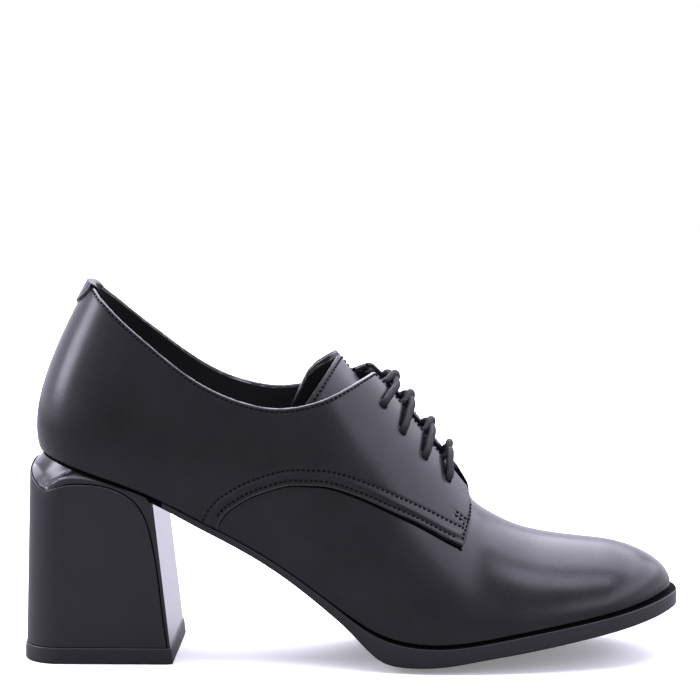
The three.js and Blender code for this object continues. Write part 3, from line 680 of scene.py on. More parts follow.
def leather_material(name, dark, light, roughness, pore_depth, unevenness=0.5):
    material, nodes, links, shader = new_material(name)
    grain = use_group(nodes, HIDE_GRAIN, Pore_Depth=pore_depth, Unevenness=unevenness)
    colour = colour_between(nodes, links, grain.outputs["Mottle"], dark, light)
    links.new(colour, shader.inputs["Base Color"])
    wear = use_group(nodes, SATIN_WEAR, Base=roughness, Range=0.14, Scale=70.0)
    links.new(wear.outputs["Roughness"], shader.inputs["Roughness"])
    add_bump(nodes, links, shader, grain.outputs["Height"], 0.2, 0.12)
    shader.inputs["Specular IOR Level"].default_value = 0.375
    return material


def smooth_material(name, colour, roughness, spread, bump, shine=0.5, coat=0.0, coat_roughness=0.05):
    material, nodes, links, shader = new_material(name)
    wear = use_group(nodes, SATIN_WEAR, Base=roughness, Range=spread, Scale=60.0)
    links.new(wear.outputs["Roughness"], shader.inputs["Roughness"])
    mottle = object_noise(nodes, links, 45.0, 3.0)
    lighter = tuple(value * 1.35 for value in colour)
    mottled = colour_between(nodes, links, mottle.outputs["Fac"], colour, lighter)
    links.new(mottled, shader.inputs["Base Color"])
    add_bump(nodes, links, shader, wear.outputs["Height"], bump, 0.05)
    shader.inputs["Specular IOR Level"].default_value = shine
    shader.inputs["Coat Weight"].default_value = coat
    shader.inputs["Coat Roughness"].default_value = coat_roughness
    return material


CORD_DARK, CORD_LIGHT = (0.005, 0.005, 0.0055), (0.022, 0.022, 0.024)


def cord_material():
    """Waxed round cord with small glittering threads."""
    material, nodes, links, shader = new_material("waxed_lace_cord")
    fibres = object_noise(nodes, links, 2200.0, 3.0)
    colour = colour_between(nodes, links, fibres.outputs["Fac"], CORD_DARK, CORD_LIGHT)
    links.new(colour, shader.inputs["Base Color"])
    shader.inputs["Roughness"].default_value = 0.45
    shader.inputs["Specular IOR Level"].default_value = 0.3
    glints = object_noise(nodes, links, 950.0, kind="ShaderNodeTexVoronoi")
    speck = math_node(nodes, links, "LESS_THAN", glints.outputs["Distance"], 0.14)
    links.new(speck, shader.inputs["Metallic"])
    add_bump(nodes, links, shader, fibres.outputs["Fac"], 0.7, 0.15)
    return material


LEATHER = leather_material(
    "polished_calf_leather", (0.0048, 0.0048, 0.0052), (0.0105, 0.0105, 0.0112), 0.28, 0.4, unevenness=5.0
)
TONGUE_LEATHER = leather_material(
    "tongue_leather", (0.009, 0.009, 0.0095), (0.013, 0.013, 0.014), roughness=0.34, pore_depth=0.6
)
LINING = leather_material(
    "black_lining_leather", (0.004, 0.004, 0.004), (0.007, 0.007, 0.008), roughness=0.7, pore_depth=0.8
)
BLACK_LINING = leather_material(
    "matte_black_backing", (0.002, 0.002, 0.002), (0.0035, 0.0035, 0.0038), roughness=0.85, pore_depth=0.8
)
CORD = cord_material()
# Name, colour, roughness and its spread, and how far the surface's dust stands up.
SOLE_RUBBER = smooth_material("moulded_sole_rubber", (0.008, 0.008, 0.009), 0.42, 0.2, 0.25)
HEEL_SATIN = smooth_material("satin_heel_lacquer", (0.0075, 0.008, 0.0085), 0.34, 0.08, 0.05)
HEEL_CUP = smooth_material("polished_heel_cup", (0.006, 0.006, 0.0065), 0.24, 0.05, 0.03, shine=0.6)
HEEL_GLOSS = smooth_material("mirror_heel_lacquer", (0.005, 0.005, 0.006), 0.06, 0.04, 0.02, coat=1.0)
# Black thread, made near-black so that it also stands for painted shade in the stitch holes.
THREAD_AND_HOLE_SHADE = smooth_material("black_thread_and_painted_hole_shade", (0.002, 0.002, 0.0022), 0.7, 0.2, 0.3, shine=0.1)
# Near-black: partly raw leather edges, partly painted shade in the hem's undercut, the sole's groove and
# seat, the heel's groove and seat gap, and the lace holes.
EDGE_AND_PAINTED_SHADE = smooth_material("black_edge_and_painted_shade", (0.002, 0.002, 0.002), 0.9, 0.1, 0.4, shine=0.05)
EDGE_PAINT = smooth_material(
    "glossy_edge_paint", (0.008, 0.008, 0.0085), 0.25, 0.08, 0.05, coat=0.5, coat_roughness=0.18
)

# Quarters

EDGE_STEPS = [0, 0.03, 0.1, 0.22, 0.4, 0.65, 0.95, 1.3, 1.75, 2.3]
HEM_STEPS = [0, 0.35, 0.7, 0.84, 0.9, 0.93, 1.0, 1.12, 1.3, 1.55, 1.85, 2.2, 2.7, 3.3]
HEM_LEDGE = 0.9
HEM_TAPER = (-15.0, 42.0)
EDGE_RADIUS = 0.7
COLLAR_RADIUS = 0.95
COLLAR_PAINTED = 0.8 * COLLAR_RADIUS
QUARTER_COLUMNS, QUARTER_ROWS = 235, 92
ARC_OVER_CHORD = 1.06
# The last columns, counted back from the front edge, where the leather rolls down.
FRONT_COLUMNS = np.array([3.2, 2.5, 1.9, 1.4, 1.0, 0.65, 0.4, 0.2, 0.08, 0.03, 0])


def tapered(x, least):
    """The share of the hem's relief: the least at the waist, all of it by the front corner."""
    return mix(least, 1, smooth(*HEM_TAPER, x))


def ledge_at(x):
    return HEM_LEDGE * tapered(x, 0.3)


def quarter_grid(side):
    """Shares and climbs of a grid over one quarter, with its edges as grid lines."""
    front = rounded_path(FACING_FRONT, 160)
    front_share, front_climb = on_skin(front, side, quarter_skin)
    away = from_ridge(quarter_skin(front_share, side, front_climb))
    end = int(np.argmax(away < THROAT_HALF_GAP))
    front_share, front_climb = front_share[: end + 1], front_climb[: end + 1]
    low_share = even_shares(0, front_share[0], QUARTER_COLUMNS)
    high_share = low_share * front_share[-1] / front_share[0]
    low, high = low_climb(low_share, side, quarter_skin), top_climb(high_share, side, quarter_skin)
    low[-1], high[-1] = front_climb[0], front_climb[-1]
    tall = lengths_along(quarter_skin(front_share, side, front_climb))
    pull = np.linspace(0, 1, QUARTER_COLUMNS)[:, None] ** 6
    lower = quarter_skin(low_share, side, low)
    upper = quarter_skin(high_share, side, high)
    reach = np.linalg.norm(upper - lower, axis=1)
    ledge = ledge_at(lower[:, :1])
    steps = np.array(HEM_STEPS)
    steps = np.where(steps <= HEM_LEDGE, steps * ledge / HEM_LEDGE, steps - HEM_LEDGE + ledge)
    up = spaced(reach * ARC_OVER_CHORD, steps, EDGE_STEPS, QUARTER_ROWS)
    share = mix(low_share[:, None], high_share[:, None], up)
    climb = mix(low[:, None], high[:, None], up)
    rim_share = np.interp(up, tall / tall[-1], front_share)
    rim_climb = np.interp(up, tall / tall[-1], front_climb)
    share = share + pull * (rim_share - mix(low_share[-1], high_share[-1], up))
    climb = climb + pull * (rim_climb - mix(low[-1], high[-1], up))
    place = np.arange(QUARTER_COLUMNS)
    wanted = np.concatenate([place[:-5], place[-1] - FRONT_COLUMNS])
    return drawn(wanted, place, share), drawn(wanted, place, climb)


def side_row(places, side, spacing=0.3):
    """A line on the quarter's skin through side-view places, as points and normals."""
    total = lengths_along(places)[-1]
    fine = resample(places, np.linspace(0, total, int(total / spacing)))
    share, climb = on_skin(fine, side, quarter_skin)
    return skin_points(share, climb, side)


def skin_points(share, climb, side):
    point = quarter_skin(share, side, climb)
    ahead = quarter_skin(share + NUDGE, side, climb) - quarter_skin(share - NUDGE, side, climb)
    up = quarter_skin(share, side, climb + NUDGE) - quarter_skin(share, side, climb - NUDGE)
    normal = np.cross(ahead, up) * -np.sign(side)
    normal /= np.linalg.norm(normal, axis=1, keepdims=True)
    return point, normal


def shifted(line, distance):
    """A side-view line moved to its left by distance."""
    ahead = np.gradient(line, axis=0)
    ahead /= np.linalg.norm(ahead, axis=1, keepdims=True)
    return line + np.stack([-ahead[:, 1], ahead[:, 0]], 1) * distance


# Two rows along the hem: their distance from it, and from where to where they run.
HEM_ROWS = [(2.15, -48.5, 38.9), (6.0, -54.0, 40.2)]
TOP_ROW, TOP_ROW_END = 1.35, 0.64
FRONT_ROWS = [
    [[0.6807, 0.5566], [0.6798, 0.5399], [0.678, 0.5201], [0.675, 0.5002], [0.6705, 0.474], [0.6661, 0.4471]],
    [[0.6698, 0.5064], [0.6685, 0.4945], [0.6669, 0.4827]],
    [[0.6567, 0.5444], [0.6655, 0.5268], [0.6754, 0.5085]],
    [[0.655, 0.5335], [0.6624, 0.5189], [0.6692, 0.5057]],
]


def quarter_rows(side):
    """The stitch rows of one quarter, each as points and normals."""
    rows = []
    for distance, start, end in HEM_ROWS:
        line = shifted(rounded_path(QUARTER_EDGE, 300), distance)
        rows.append(side_row(line[(line[:, 0] > start) & (line[:, 0] < end)], side))
    shares = even_shares(0.0005, TOP_ROW_END, 420)
    climb = top_climb(shares, side, quarter_skin, TOP_ROW)
    rows.append(skin_points(shares, climb, side))
    return rows + [side_row(rounded_path(side_view(row), 40), side) for row in FRONT_ROWS]


STITCH_PITCH, STITCH_LENGTH, STITCH_RADIUS = 1.87, 1.42, 0.34
STITCH_SINK, STITCH_DIP = 0.02, 0.22
STITCH_SIDES, STITCH_RINGS = 8, 7


def stitches(rows):
    """Small rounded threads laid end to end along rows, with their ends pulled into the leather."""
    turn = np.linspace(0, 2 * math.pi, STITCH_SIDES, endpoint=False)
    way = np.linspace(-1, 1, STITCH_RINGS)
    taper = np.sqrt(np.maximum(0, 1 - np.abs(way) ** 3.2))
    height = -STITCH_SINK - STITCH_DIP * np.abs(way) ** 3
    parts = []
    for points, normals in rows:
        places = lengths_along(points)
        middles = np.arange(STITCH_PITCH / 2, places[-1], STITCH_PITCH)
        middle = resample(points, middles)
        normal = np.stack([np.interp(middles, places, normals[:, k]) for k in range(3)], 1)
        ahead = resample(points, np.minimum(middles + 0.4, places[-1])) - resample(points, middles - 0.4)
        ahead /= np.linalg.norm(ahead, axis=1, keepdims=True)
        normal -= ahead * np.sum(normal * ahead, 1, keepdims=True)
        normal /= np.linalg.norm(normal, axis=1, keepdims=True)
        beside = np.cross(ahead, normal)
        for m, n, a, b in zip(middle, normal, ahead, beside):
            core = m + a * (way * STITCH_LENGTH / 2)[:, None] + n * height[:, None]
            ring = np.cos(turn)[None, :, None] * b + np.sin(turn)[None, :, None] * n
            parts.append(sheet(core[:, None, :] + ring * (taper * STITCH_RADIUS)[:, None, None], wrap=True))
    return parts


BAND_MIDDLE, BAND_WIDTH, BAND_SWELL = 4.2, 1.25, 0.42
ROW_DEPTH, ROW_WIDTH = 0.2, 0.5
TURNED_ROWS = 24
# The undercut ends below these rows of the skin, counted from the hem and from the front edge.
HEM_UNDER, FRONT_UNDER, UNDERCUT = 7, 9, 0.5


def face_middles(values):
    """A grid's values halfway between each face's first and third corner."""
    return values[:-1, :-1].ravel() / 2 + values[1:, 1:].ravel() / 2


def quarter_parts(side):
    """Skin, inside and undercut edges: 0 is leather, 1 raw edge and painted shade, 2 edge paint and 3 lining.
    """
    share, climb = quarter_grid(side)
    base = quarter_skin(share, side, climb)
    rows = quarter_rows(side)
    hem_start = int(np.argmax(climb[:, 0] > 1e-4))
    hem_away = distance_to(base, base[hem_start:, 0])
    top_away = distance_to(base, base[:, -1])
    past_ledge = hem_away - ledge_at(base[..., 0])
    ends = np.concatenate([base[: hem_start + 1, 0], base[-1]])
    drop = edge_roll(np.maximum(past_ledge, 0), EDGE_RADIUS * tapered(base[..., 0], 0.75))
    drop = np.maximum(drop, edge_roll(distance_to(base, ends), EDGE_RADIUS))
    drop = np.maximum(drop, edge_roll(top_away, COLLAR_RADIUS))
    for points, _ in rows:
        drop = drop + channel(distance_to(base, points), ROW_DEPTH, ROW_WIDTH)
    swell = channel(hem_away - BAND_MIDDLE, BAND_SWELL, BAND_WIDTH)
    swell = swell * smooth(1.5, 4.5, distance_to(base, base[-1]))
    skin = base + grid_normals(base) * side * (swell - drop)[..., None]
    painted = (face_middles(top_away) < COLLAR_PAINTED) | (face_middles(past_ledge) < EDGE_RADIUS)
    # The ledge under the hem's lip is near-black: partly the raw edge, partly painted shade.
    parts = [sheet(skin, np.where(face_middles(past_ledge) < 0, 1, np.where(painted, 2, 0)))]
    # The inside face of the collar and the facing, joined to the skin round the rolled edge.
    back = quarter_back(share[:, -TURNED_ROWS:], side, climb[:, -TURNED_ROWS:])
    rise = edge_roll(distance_to(back, back[:, -1]), COLLAR_RADIUS)
    inside = back + grid_normals(back) * side * rise[..., None]
    parts.append(sheet(inside, 3, flip=True))
    parts.append(sheet(between(skin[:, -1], inside[:, -1], (0, 0.5, 1)), 2))
    # The hem and the front edge are undercut down to the vamp; the undercut is near-black, painted shade
    # under the hem.
    down = np.concatenate([skin[hem_start:, 0], skin[-1]])
    under_share = np.concatenate([share[hem_start:, HEM_UNDER], share[-FRONT_UNDER]])
    under_climb = np.concatenate([climb[hem_start:, HEM_UNDER], climb[-FRONT_UNDER]])
    vamp = last_point(under_share, side, under_climb, -UNDERCUT)
    parts.append(sheet(between(down, vamp, (0, 0.35, 0.7, 1)), 1))
    return (flipped(parts) if side < 0 else parts), rows


# Vamp and lining

# How far back the vamp reaches, from the feather line up to the throat.
VAMP_CLIMBS = [0, 0.2, 0.3, 0.4, 0.5, 0.65, 0.85, 0.95, 1]
VAMP_BACK = [0.26, 0.27, 0.32, 0.44, 0.57, 0.62, 0.66, 0.682]
VAMP_ROLL = 0.4
FEATHER_CLIMBS = [0, 0.0012, 0.003, 0.0055, 0.0085]


def vamp_parts():
    """From the toe back over the instep, and under the quarters on both sides."""
    length, half = 210, 96
    climb = np.sin(np.linspace(0, math.pi / 2, half)) ** 1.15
    climb = np.concatenate([FEATHER_CLIMBS, climb[2:]])
    side = np.concatenate([-np.ones(len(climb) - 1), np.ones(len(climb))])
    climb = np.concatenate([climb[:-1], climb[::-1]])
    tail = VAMP_BACK[0]
    throat = share_at(THROAT_FRONT * SHOE_LENGTH - SHOE_LENGTH / 2)
    back = np.interp(climb, VAMP_CLIMBS, VAMP_BACK + [throat])
    way = (even_shares(tail, 1, length) - tail) / (1 - tail)
    share = back[None, :] + (1 - back[None, :]) * way[:, None]
    skin = last_point(share, side[None, :], climb[None, :])
    away = distance_to(skin, np.concatenate([skin[:, 0], skin[::-1, -1]]))
    return [sheet(skin + grid_normals(skin) * edge_roll(away, VAMP_ROLL)[..., None], flip=True)]


def lining_parts():
    parts = []
    for side in (-1, 1):
        share = even_shares(0, 1, 170)
        top = np.where(share > 0.66, 1, top_climb(share, side, quarter_back, 1.2))
        climb = top[:, None] * np.linspace(0, 1, 50)[None, :]
        lift = inner_lift(share, side)[:, None]
        inside = last_point(share[:, None], side, climb, -UPPER_WALL - 0.05, lift)
        parts.append(sheet(inside, flip=side > 0))
    return parts


# Tongue

TONGUE_ROLL, TONGUE_ROW = 0.4, 1.75
TONGUE_ROWS, TONGUE_COLUMNS = 70, 130
# The first stitches are left out at the peak: points of the row to start from, by side.
TONGUE_ROW_START = {-1: 0, 1: 20}


def tongue_offset(share):
    return -(UPPER_WALL + GAP) - TONGUE_SINK * (1 - smooth(0.53, 0.6, share))


def tongue_skin(share, side, climb):
    return last_point(share, side, climb, tongue_offset(share))


def tongue_grid(side):
    """Shares and climbs from the ridge down one side, and from the free edge to the front."""
    edge = evenly(TONGUE_EDGE[side], TONGUE_ROWS)
    foot = evenly(TONGUE_FOOT, TONGUE_COLUMNS)
    edge_share, edge_climb = on_skin(edge, side, tongue_skin)
    edge_climb[0] = 1
    foot_share, foot_climb = on_skin(foot, side, tongue_skin)
    ridge_share = np.linspace(edge_share[0], foot_share[-1], TONGUE_COLUMNS)
    u = np.linspace(0, 1, TONGUE_ROWS)[:, None]
    place = np.linspace(0, 1, TONGUE_COLUMNS)
    v = place[None, :] ** 1.3
    foot_share = np.interp(v[0], place, foot_share)
    foot_climb = np.interp(v[0], place, foot_climb)
    ridge_share = np.interp(v[0], place, ridge_share)
    front_climb = mix(1, foot_climb[-1], u)
    share = (
        (1 - v) * edge_share[:, None]
        + v * foot_share[-1]
        + (1 - u) * (ridge_share - mix(edge_share[0], foot_share[-1], v))
        + u * (foot_share - mix(edge_share[-1], foot_share[-1], v))
    )
    climb = (
        (1 - v) * edge_climb[:, None]
        + v * front_climb
        + u * (foot_climb - mix(edge_climb[-1], foot_climb[-1], v))
    )
    return share, np.clip(climb, 0, 1)


def tongue_parts():
    parts, rows = [], []
    for side in (-1, 1):
        share, climb = tongue_grid(side)
        base = tongue_skin(share, side, climb)
        under = last_point(share, side, climb, tongue_offset(share) - TONGUE_THICKNESS)
        normal = grid_normals(base) * side
        away = distance_to(base, base[:, 0])
        drop = edge_roll(away, TONGUE_ROLL) + channel(away - TONGUE_ROW, 0.18, 0.45)
        skin = base - normal * drop[..., None]
        lift = edge_roll(distance_to(under, under[:, 0]), TONGUE_ROLL)
        inside = under + normal * lift[..., None]
        rim = between(skin[:, 0], inside[:, 0], (0, 0.5, 1))
        group = [sheet(skin), sheet(inside, 1, flip=True), sheet(rim, 2, flip=True)]
        parts += flipped(group) if side < 0 else group
        at = int(np.argmax(lengths_along(base[10]) > TONGUE_ROW))
        first = TONGUE_ROW_START[side]
        rows.append((base[first:, at], normal[first:, at]))
    return parts, rows


# Back tab

TAB_STEPS = [0, 0.05, 0.15, 0.35, 0.6]
TAB_ROLL, TAB_FOLD = 0.6, 0.55
TAB_COLUMNS, TAB_ROWS = 61, 40


def tab_parts():
    """A piece of leather folded over the top of the back seam, half of it on each side."""
    parts = []
    steps = spaced(np.full(TAB_COLUMNS, 8.0), TAB_STEPS, TAB_STEPS, TAB_ROWS)
    for side in (-1, 1):

        def tab_face(offset):
            """One face of the tab at an offset from the last, and its lowest climbs."""

            def under_top(s, d, c):
                p = last_point(s, d, c, offset)
                return p[:, 2] < topline_height(p[:, 0], d, GAP + TAB_THICKNESS / 2)

            def under_low(s, d, c):
                return last_point(s, d, c, offset)[:, 2] < low_edge

            low = last_kept(share, side, under_low, 0.05, 1)
            climb = mix(low[:, None], last_kept(share, side, under_top, 0.05, 1)[:, None], steps)
            return last_point(share[:, None], side, climb, offset), low

        out = QUARTER_STEP + GAP + TAB_THICKNESS
        fine = even_shares(0, 0.1, 400)
        top = top_climb(fine, side, lambda s, d, c: last_point(s, d, c, out))
        beside = np.abs(last_point(fine, side, top, out)[:, 1])
        across = np.sin(np.linspace(0, math.pi / 2, TAB_COLUMNS)) * (TAB_HALF_WIDTH - 0.05)
        share = np.interp(across, beside, fine)
        y = np.interp(share, fine, beside)
        fall = TAB_DROP * np.sqrt(np.maximum(0, 1 - (y / TAB_HALF_WIDTH) ** 2)) + 0.15
        low_edge = TOPLINE[2, 1] * INSTEP_HEIGHT - fall
        outer, low = tab_face(out)
        inner, _ = tab_face(-(UPPER_WALL + GAP) - TAB_THICKNESS)
        away = np.minimum(distance_to(outer, outer[:, 0]), distance_to(outer, outer[-1]))
        drop = edge_roll(away, TAB_ROLL) + channel(away - 1.3, 0.1, 0.35)
        outer = outer - grid_normals(outer) * side * drop[..., None]
        fold = [
            mix(outer[:, -1], inner[:, -1], (1 - math.cos(a)) / 2) + np.array([0, 0, TAB_FOLD * math.sin(a)])
            for a in np.linspace(0, math.pi, 9)[1:-1]
        ]
        under = last_point(share, side, low, QUARTER_STEP - 0.2)
        group = [
            sheet(np.concatenate([outer, np.stack(fold, 1), inner[:, ::-1]], 1)),
            sheet(np.stack([outer[:, 0], under], 1), flip=True),
        ]
        parts += flipped(group) if side < 0 else group
    return parts


# Sole


def crown_drop(share, across):
    return SOLE["crown"](share) * SOLE_CROWN * (1 - (2 * across - 1) ** 2)


RIM_RAISED, RIM_ROUND, RIM_INSET, SOLE_BEVEL = 0.45, 0.3, 0.9, 0.7
# At the heel seat the rim is set in and painted black, as shade under the cup's own rim.
SEAT_RIM_INSET, SEAT_RIM_END = 0.35, 0.2
SOLE_STATIONS, SOLE_ACROSS = 300, 18


def outsole_parts():
    """A ring of lines along the sole: outer rim, bottom, inner rim and top. 0 is rubber, 1 black painted
    shade.
    """
    share = (1 - np.cos(np.linspace(0, math.pi, SOLE_STATIONS))) / 2
    margin = SOLE["margin"](share) * FOREPART_MARGIN - SEAT_RIM_INSET * (1 - smooth(0.2, 0.26, share))
    step = (SOLE_RIM_STEP - RIM_RAISED) * smooth(0.46, 0.54, share)
    shelf = np.minimum(margin, 0) - RIM_INSET
    deep = SOLE["depth"](share) * SEAT_HEIGHT
    turn = np.linspace(0, math.pi / 2, 6)

    def at(side, out, down):
        point = foot_point(share, side, out)
        point[:, 2] -= down
        return point

    def rim(side):
        rows = [at(side, shelf, np.full(len(share), GAP)), at(side, shelf + GAP, GAP + step)]
        for a in turn[::-1]:
            down = GAP + step + RIM_ROUND * (1 - np.sin(a))
            rows.append(at(side, margin - RIM_ROUND * (1 - np.cos(a)), down))
        for a in turn:
            rows.append(at(side, margin - SOLE_BEVEL * (1 - np.cos(a)), deep - SOLE_BEVEL * (1 - np.sin(a))))
        return rows

    def across(start, end):
        steps = np.linspace(0, 1, SOLE_ACROSS + 2)[1:-1]
        return [mix(start, end, k) - np.outer(crown_drop(share, k), [0, 0, 1]) for k in steps]

    outer, inner = rim(-1), rim(1)
    ring = outer + across(outer[-1], inner[-1]) + inner[::-1] + across(inner[0], outer[0])
    solid = np.stack(ring, 1)
    solid[..., 2] = np.maximum(solid[..., 2], 0)
    inner_start = len(outer) + SOLE_ACROSS
    inner_end = inner_start + len(inner)
    # Painted shade: the shelf in the groove under the upper is black on both sides, and so is the hidden top.
    black = np.zeros((len(share) - 1, solid.shape[1]), int)
    black[:, :2] = 1
    black[:, inner_end - 3 :] = 1
    # Painted shade: at the heel seat the whole rim is black, as the gap under the cup.
    at_seat = share[1:] < SEAT_RIM_END
    black[at_seat, : len(outer)] = 1
    black[at_seat, inner_start:inner_end] = 1
    return [sheet(solid, black.ravel(), wrap=True)]


SOCK_INSET = 1.2


def insole_parts():
    share = (1 - np.cos(np.linspace(0, math.pi, 120))) / 2
    ring = []
    for sides, further, raised in (((-1, 1), SOCK_INSET, INSOLE_THICKNESS), ((1, -1), 0, 0)):
        start, end = (last_point(share, side, 0, -(UPPER_WALL + GAP) - further) for side in sides)
        for k in np.linspace(0, 1, 15):
            point = mix(start, end, k)
            point[:, 2] += raised - crown_drop(share, k)
            ring.append(point)
    return [sheet(np.stack(ring, 1), flip=True, wrap=True)]


# Heel


def heel_point(around, side, z, grow=0.0):
    around, z = np.broadcast_arrays(np.asarray(around, float), np.asarray(z, float))
    radius = HEEL_CORNER + grow
    flat = HEEL_HALF_WIDTH - HEEL_CORNER
    arc = HEEL_CORNER * math.pi / 2
    way = around * (flat + arc + HEEL_LENGTH - HEEL_CORNER)
    turn = np.clip((way - flat) / arc, 0, 1) * math.pi / 2
    straight = np.maximum(way - flat - arc, 0)
    x = HEEL_BACK_LEAN * z + TOP_LIFT_MARGIN - grow + radius * (1 - np.cos(turn)) + straight
    y = np.where(way < flat, way, flat + radius * np.sin(turn))
    return np.stack([x - SHOE_LENGTH / 2, side * np.minimum(y, HEEL_HALF_WIDTH + grow), z], -1)


def breast_corner(side, z, grow=0.0):
    z = np.asarray(z, float)
    x = BREAST_FOOT - BREAST_LEAN * z + grow - SHOE_LENGTH / 2
    y = np.full(z.shape, side * (HEEL_HALF_WIDTH - BREAST_BEVEL + grow))
    return np.stack([x, y, z], -1)


def seat_point(share, side):
    point = foot_point(share, side, np.full(len(share), -SEAT_INSET))
    point[:, 2] -= SOLE["depth"](share) * SEAT_HEIGHT + GAP
    return point


RIM_OUT, RIM_DROP = 0.3, 1.15
CORNER_PLACE = HEEL_SEAT[-1, 0]


def seat_rim(around, inner, share, side):
    """The cup's upper rim: round the sole's edge, and down to the seat at the breast corner."""
    raised = foot_point(share, side, np.full(len(share), -RIM_OUT))
    raised[:, 2] -= RIM_DROP
    return mix(raised, inner, smooth(CORNER_PLACE - 0.02, CORNER_PLACE - 0.001, around)[:, None])


REAR_CUSP = 7


def arch_height(around):
    """The panel's upper edge: one curve up to the rear cusp and one from it to the front foot."""
    arch = np.concatenate([HEEL_SEAT[:, :2], HEEL_BREAST[1:, :2]])
    rear = natural_spline(*arch[: REAR_CUSP + 1].T)(around)
    front = natural_spline(*arch[REAR_CUSP:].T)(around)
    return np.where(around < arch[REAR_CUSP, 0], rear, front) * SEAT_HEIGHT


PANEL_EDGE, PANEL_GROOVE, GROOVE_DEPTH, STRIP_DEPTH = 0.4, 0.45, 0.6, 0.5
# Places round the heel: where the cup passes into the front strip, and where it is steepest.
STRIP_START, CUP_END = (0.38, 0.5), 0.46
STEEP_START, STEEP_END, STEEPER = (0.3, 0.42), (0.75, CORNER_PLACE), 0.65
CUP_SAG, SAG_END = 0.1, (0.36, 0.5)


def heel_side(around, side):
    """One side's panel (0), groove and rebate (3, painted black as shade), cup (2) and strip (0), with its
    inner and lower lines.
    """
    top = heel_point(around, side, arch_height(around))
    bottom = heel_point(around, side, np.full(len(around), TOP_LIFT_HEIGHT + GAP))
    out = grid_normals(between(bottom, top, np.linspace(0, 1, 20)))[:, 8] * side
    out *= np.sign(np.sum(out * (top - HEEL_CENTRE) * [1, 1, 0], 1))[:, None]
    tall = np.maximum(top[:, 2] - bottom[:, 2], 0.01)
    rolled = [
        top - np.outer(np.minimum(down, tall), [0, 0, 1]) - out * edge_roll(down, PANEL_EDGE)
        for down in np.array([1.0, 0.55, 0.2, 0.0]) * PANEL_EDGE
    ]
    wall = [mix(bottom, rolled[0], k) for k in np.linspace(0, 1, 18)]
    edge = rolled[-1]

    seat = natural_spline(HEEL_SEAT[:, 0], HEEL_SEAT[:, 2])(around)
    corner_height = np.interp(around, HEEL_BREAST[:, 0], HEEL_BREAST[:, 2]) * SEAT_HEIGHT
    at_seat = (around <= CORNER_PLACE)[:, None]
    inner = np.where(at_seat, seat_point(seat, side), breast_corner(side, corner_height))
    rim = seat_rim(around, inner, seat, side)

    along = np.gradient(top, axis=0)
    away = np.cross(out, along / np.linalg.norm(along, axis=1, keepdims=True))
    away *= np.sign(away[:, :1] + away[:, 2:])
    at_strip = smooth(*STRIP_START, around)[:, None]
    room = np.minimum(PANEL_GROOVE, 0.35 * np.linalg.norm(top - rim, axis=1))[:, None]
    start = edge - out * mix(PANEL_GROOVE, 0.05, at_strip) + away * room * at_strip
    deep = np.array([0, 0, GROOVE_DEPTH]) * (1 - at_strip) + out * at_strip * STRIP_DEPTH
    groove = np.stack([edge, mix(edge, start, 0.25) - deep, mix(edge, start, 0.8) - deep, start], 1)

    sag = CUP_SAG * (1 - smooth(*SAG_END, around)) * np.linalg.norm(start - rim, axis=1)
    steep = 1 - STEEPER * smooth(*STEEP_START, around) * (1 - smooth(*STEEP_END, around))
    steps = np.linspace(0, 1, 26)
    cup = between(start, rim, steps)
    for column, k in enumerate(steps):
        cup[:, column, 2] = mix(start[:, 2], rim[:, 2], k**steep) - sag * 4 * k * (1 - k)
    number = np.repeat(np.where(around[:-1] < CUP_END, 2, 0), len(steps) - 1)
    group = [
        sheet(np.stack(wall + rolled[1:], 1)),
        sheet(groove, 3),
        sheet(between(rim, inner, (0, 0.5, 1)), 3),
        sheet(cup, number),
    ]
    return (flipped(group) if side > 0 else group), inner, bottom


def heel_parts():
    """Both sides, the mirror breast between them (1), and flat faces under the sole and on the lift."""
    marks = np.concatenate([HEEL_SEAT[:, 0], np.linspace(CORNER_PLACE, 1, 40)[1:]])
    around = np.interp(np.linspace(0, 1, 230), np.linspace(0, 1, len(marks)), marks)
    outer, outer_line, outer_foot = heel_side(around, -1)
    inner, inner_line, inner_foot = heel_side(around, 1)
    corner = int(np.argmax(around > CORNER_PLACE)) - 1
    return outer + inner + [
        sheet(between(outer_line[corner:], inner_line[corner:], np.linspace(0, 1, 30)), 1),
        sheet(between(outer_line[: corner + 1], inner_line[: corner + 1], np.linspace(0, 1, 12))),
        sheet(between(outer_foot, inner_foot, np.linspace(0, 1, 12)), flip=True),
    ]


LIFT_ROUND_LOW, LIFT_ROUND_HIGH, LIFT_WALL_START = 0.7, 0.35, 1.2


def top_lift_parts():
    around = np.concatenate([np.linspace(0, 0.5, 50), np.linspace(0.52, 1, 20)])

    def ring(z, inset=0.0):
        half = []
        for side in (-1, 1):
            wall = heel_point(around, side, np.full(len(around), z), TOP_LIFT_MARGIN - inset)
            corner = breast_corner(side, np.array([z]), TOP_LIFT_MARGIN - inset)
            half.append(np.concatenate([wall, corner]))
        return np.concatenate([half[0], half[1][::-1]])

    turn = np.linspace(0, math.pi / 2, 6)
    low, high = LIFT_ROUND_LOW, LIFT_ROUND_HIGH
    rows = [ring(low * (1 - math.sin(a)), low * (1 - math.cos(a))) for a in turn[::-1]]
    rows += [ring(z) for z in np.linspace(LIFT_WALL_START, TOP_LIFT_HEIGHT - high, 8)]
    rows += [ring(TOP_LIFT_HEIGHT - high * (1 - math.sin(a)), high * (1 - math.cos(a))) for a in turn]
    parts = [sheet(np.stack(rows), wrap=True)]
    half = len(rows[0]) // 2
    for row, flip in ((rows[0], True), (rows[-1], False)):
        parts.append(sheet(between(row[:half], row[::-1][:half], np.linspace(0, 1, 12)), flip=flip))
    return parts


# Laces


def climb_at_distance(share, side, distance):
    ridge = station(share, side)[1][..., 1]

    def kept(s, d, c):
        return np.abs(quarter_skin(s, d, c)[:, 1] - ridge) > distance

    return last_kept(share, side, kept, 0.3, 1)


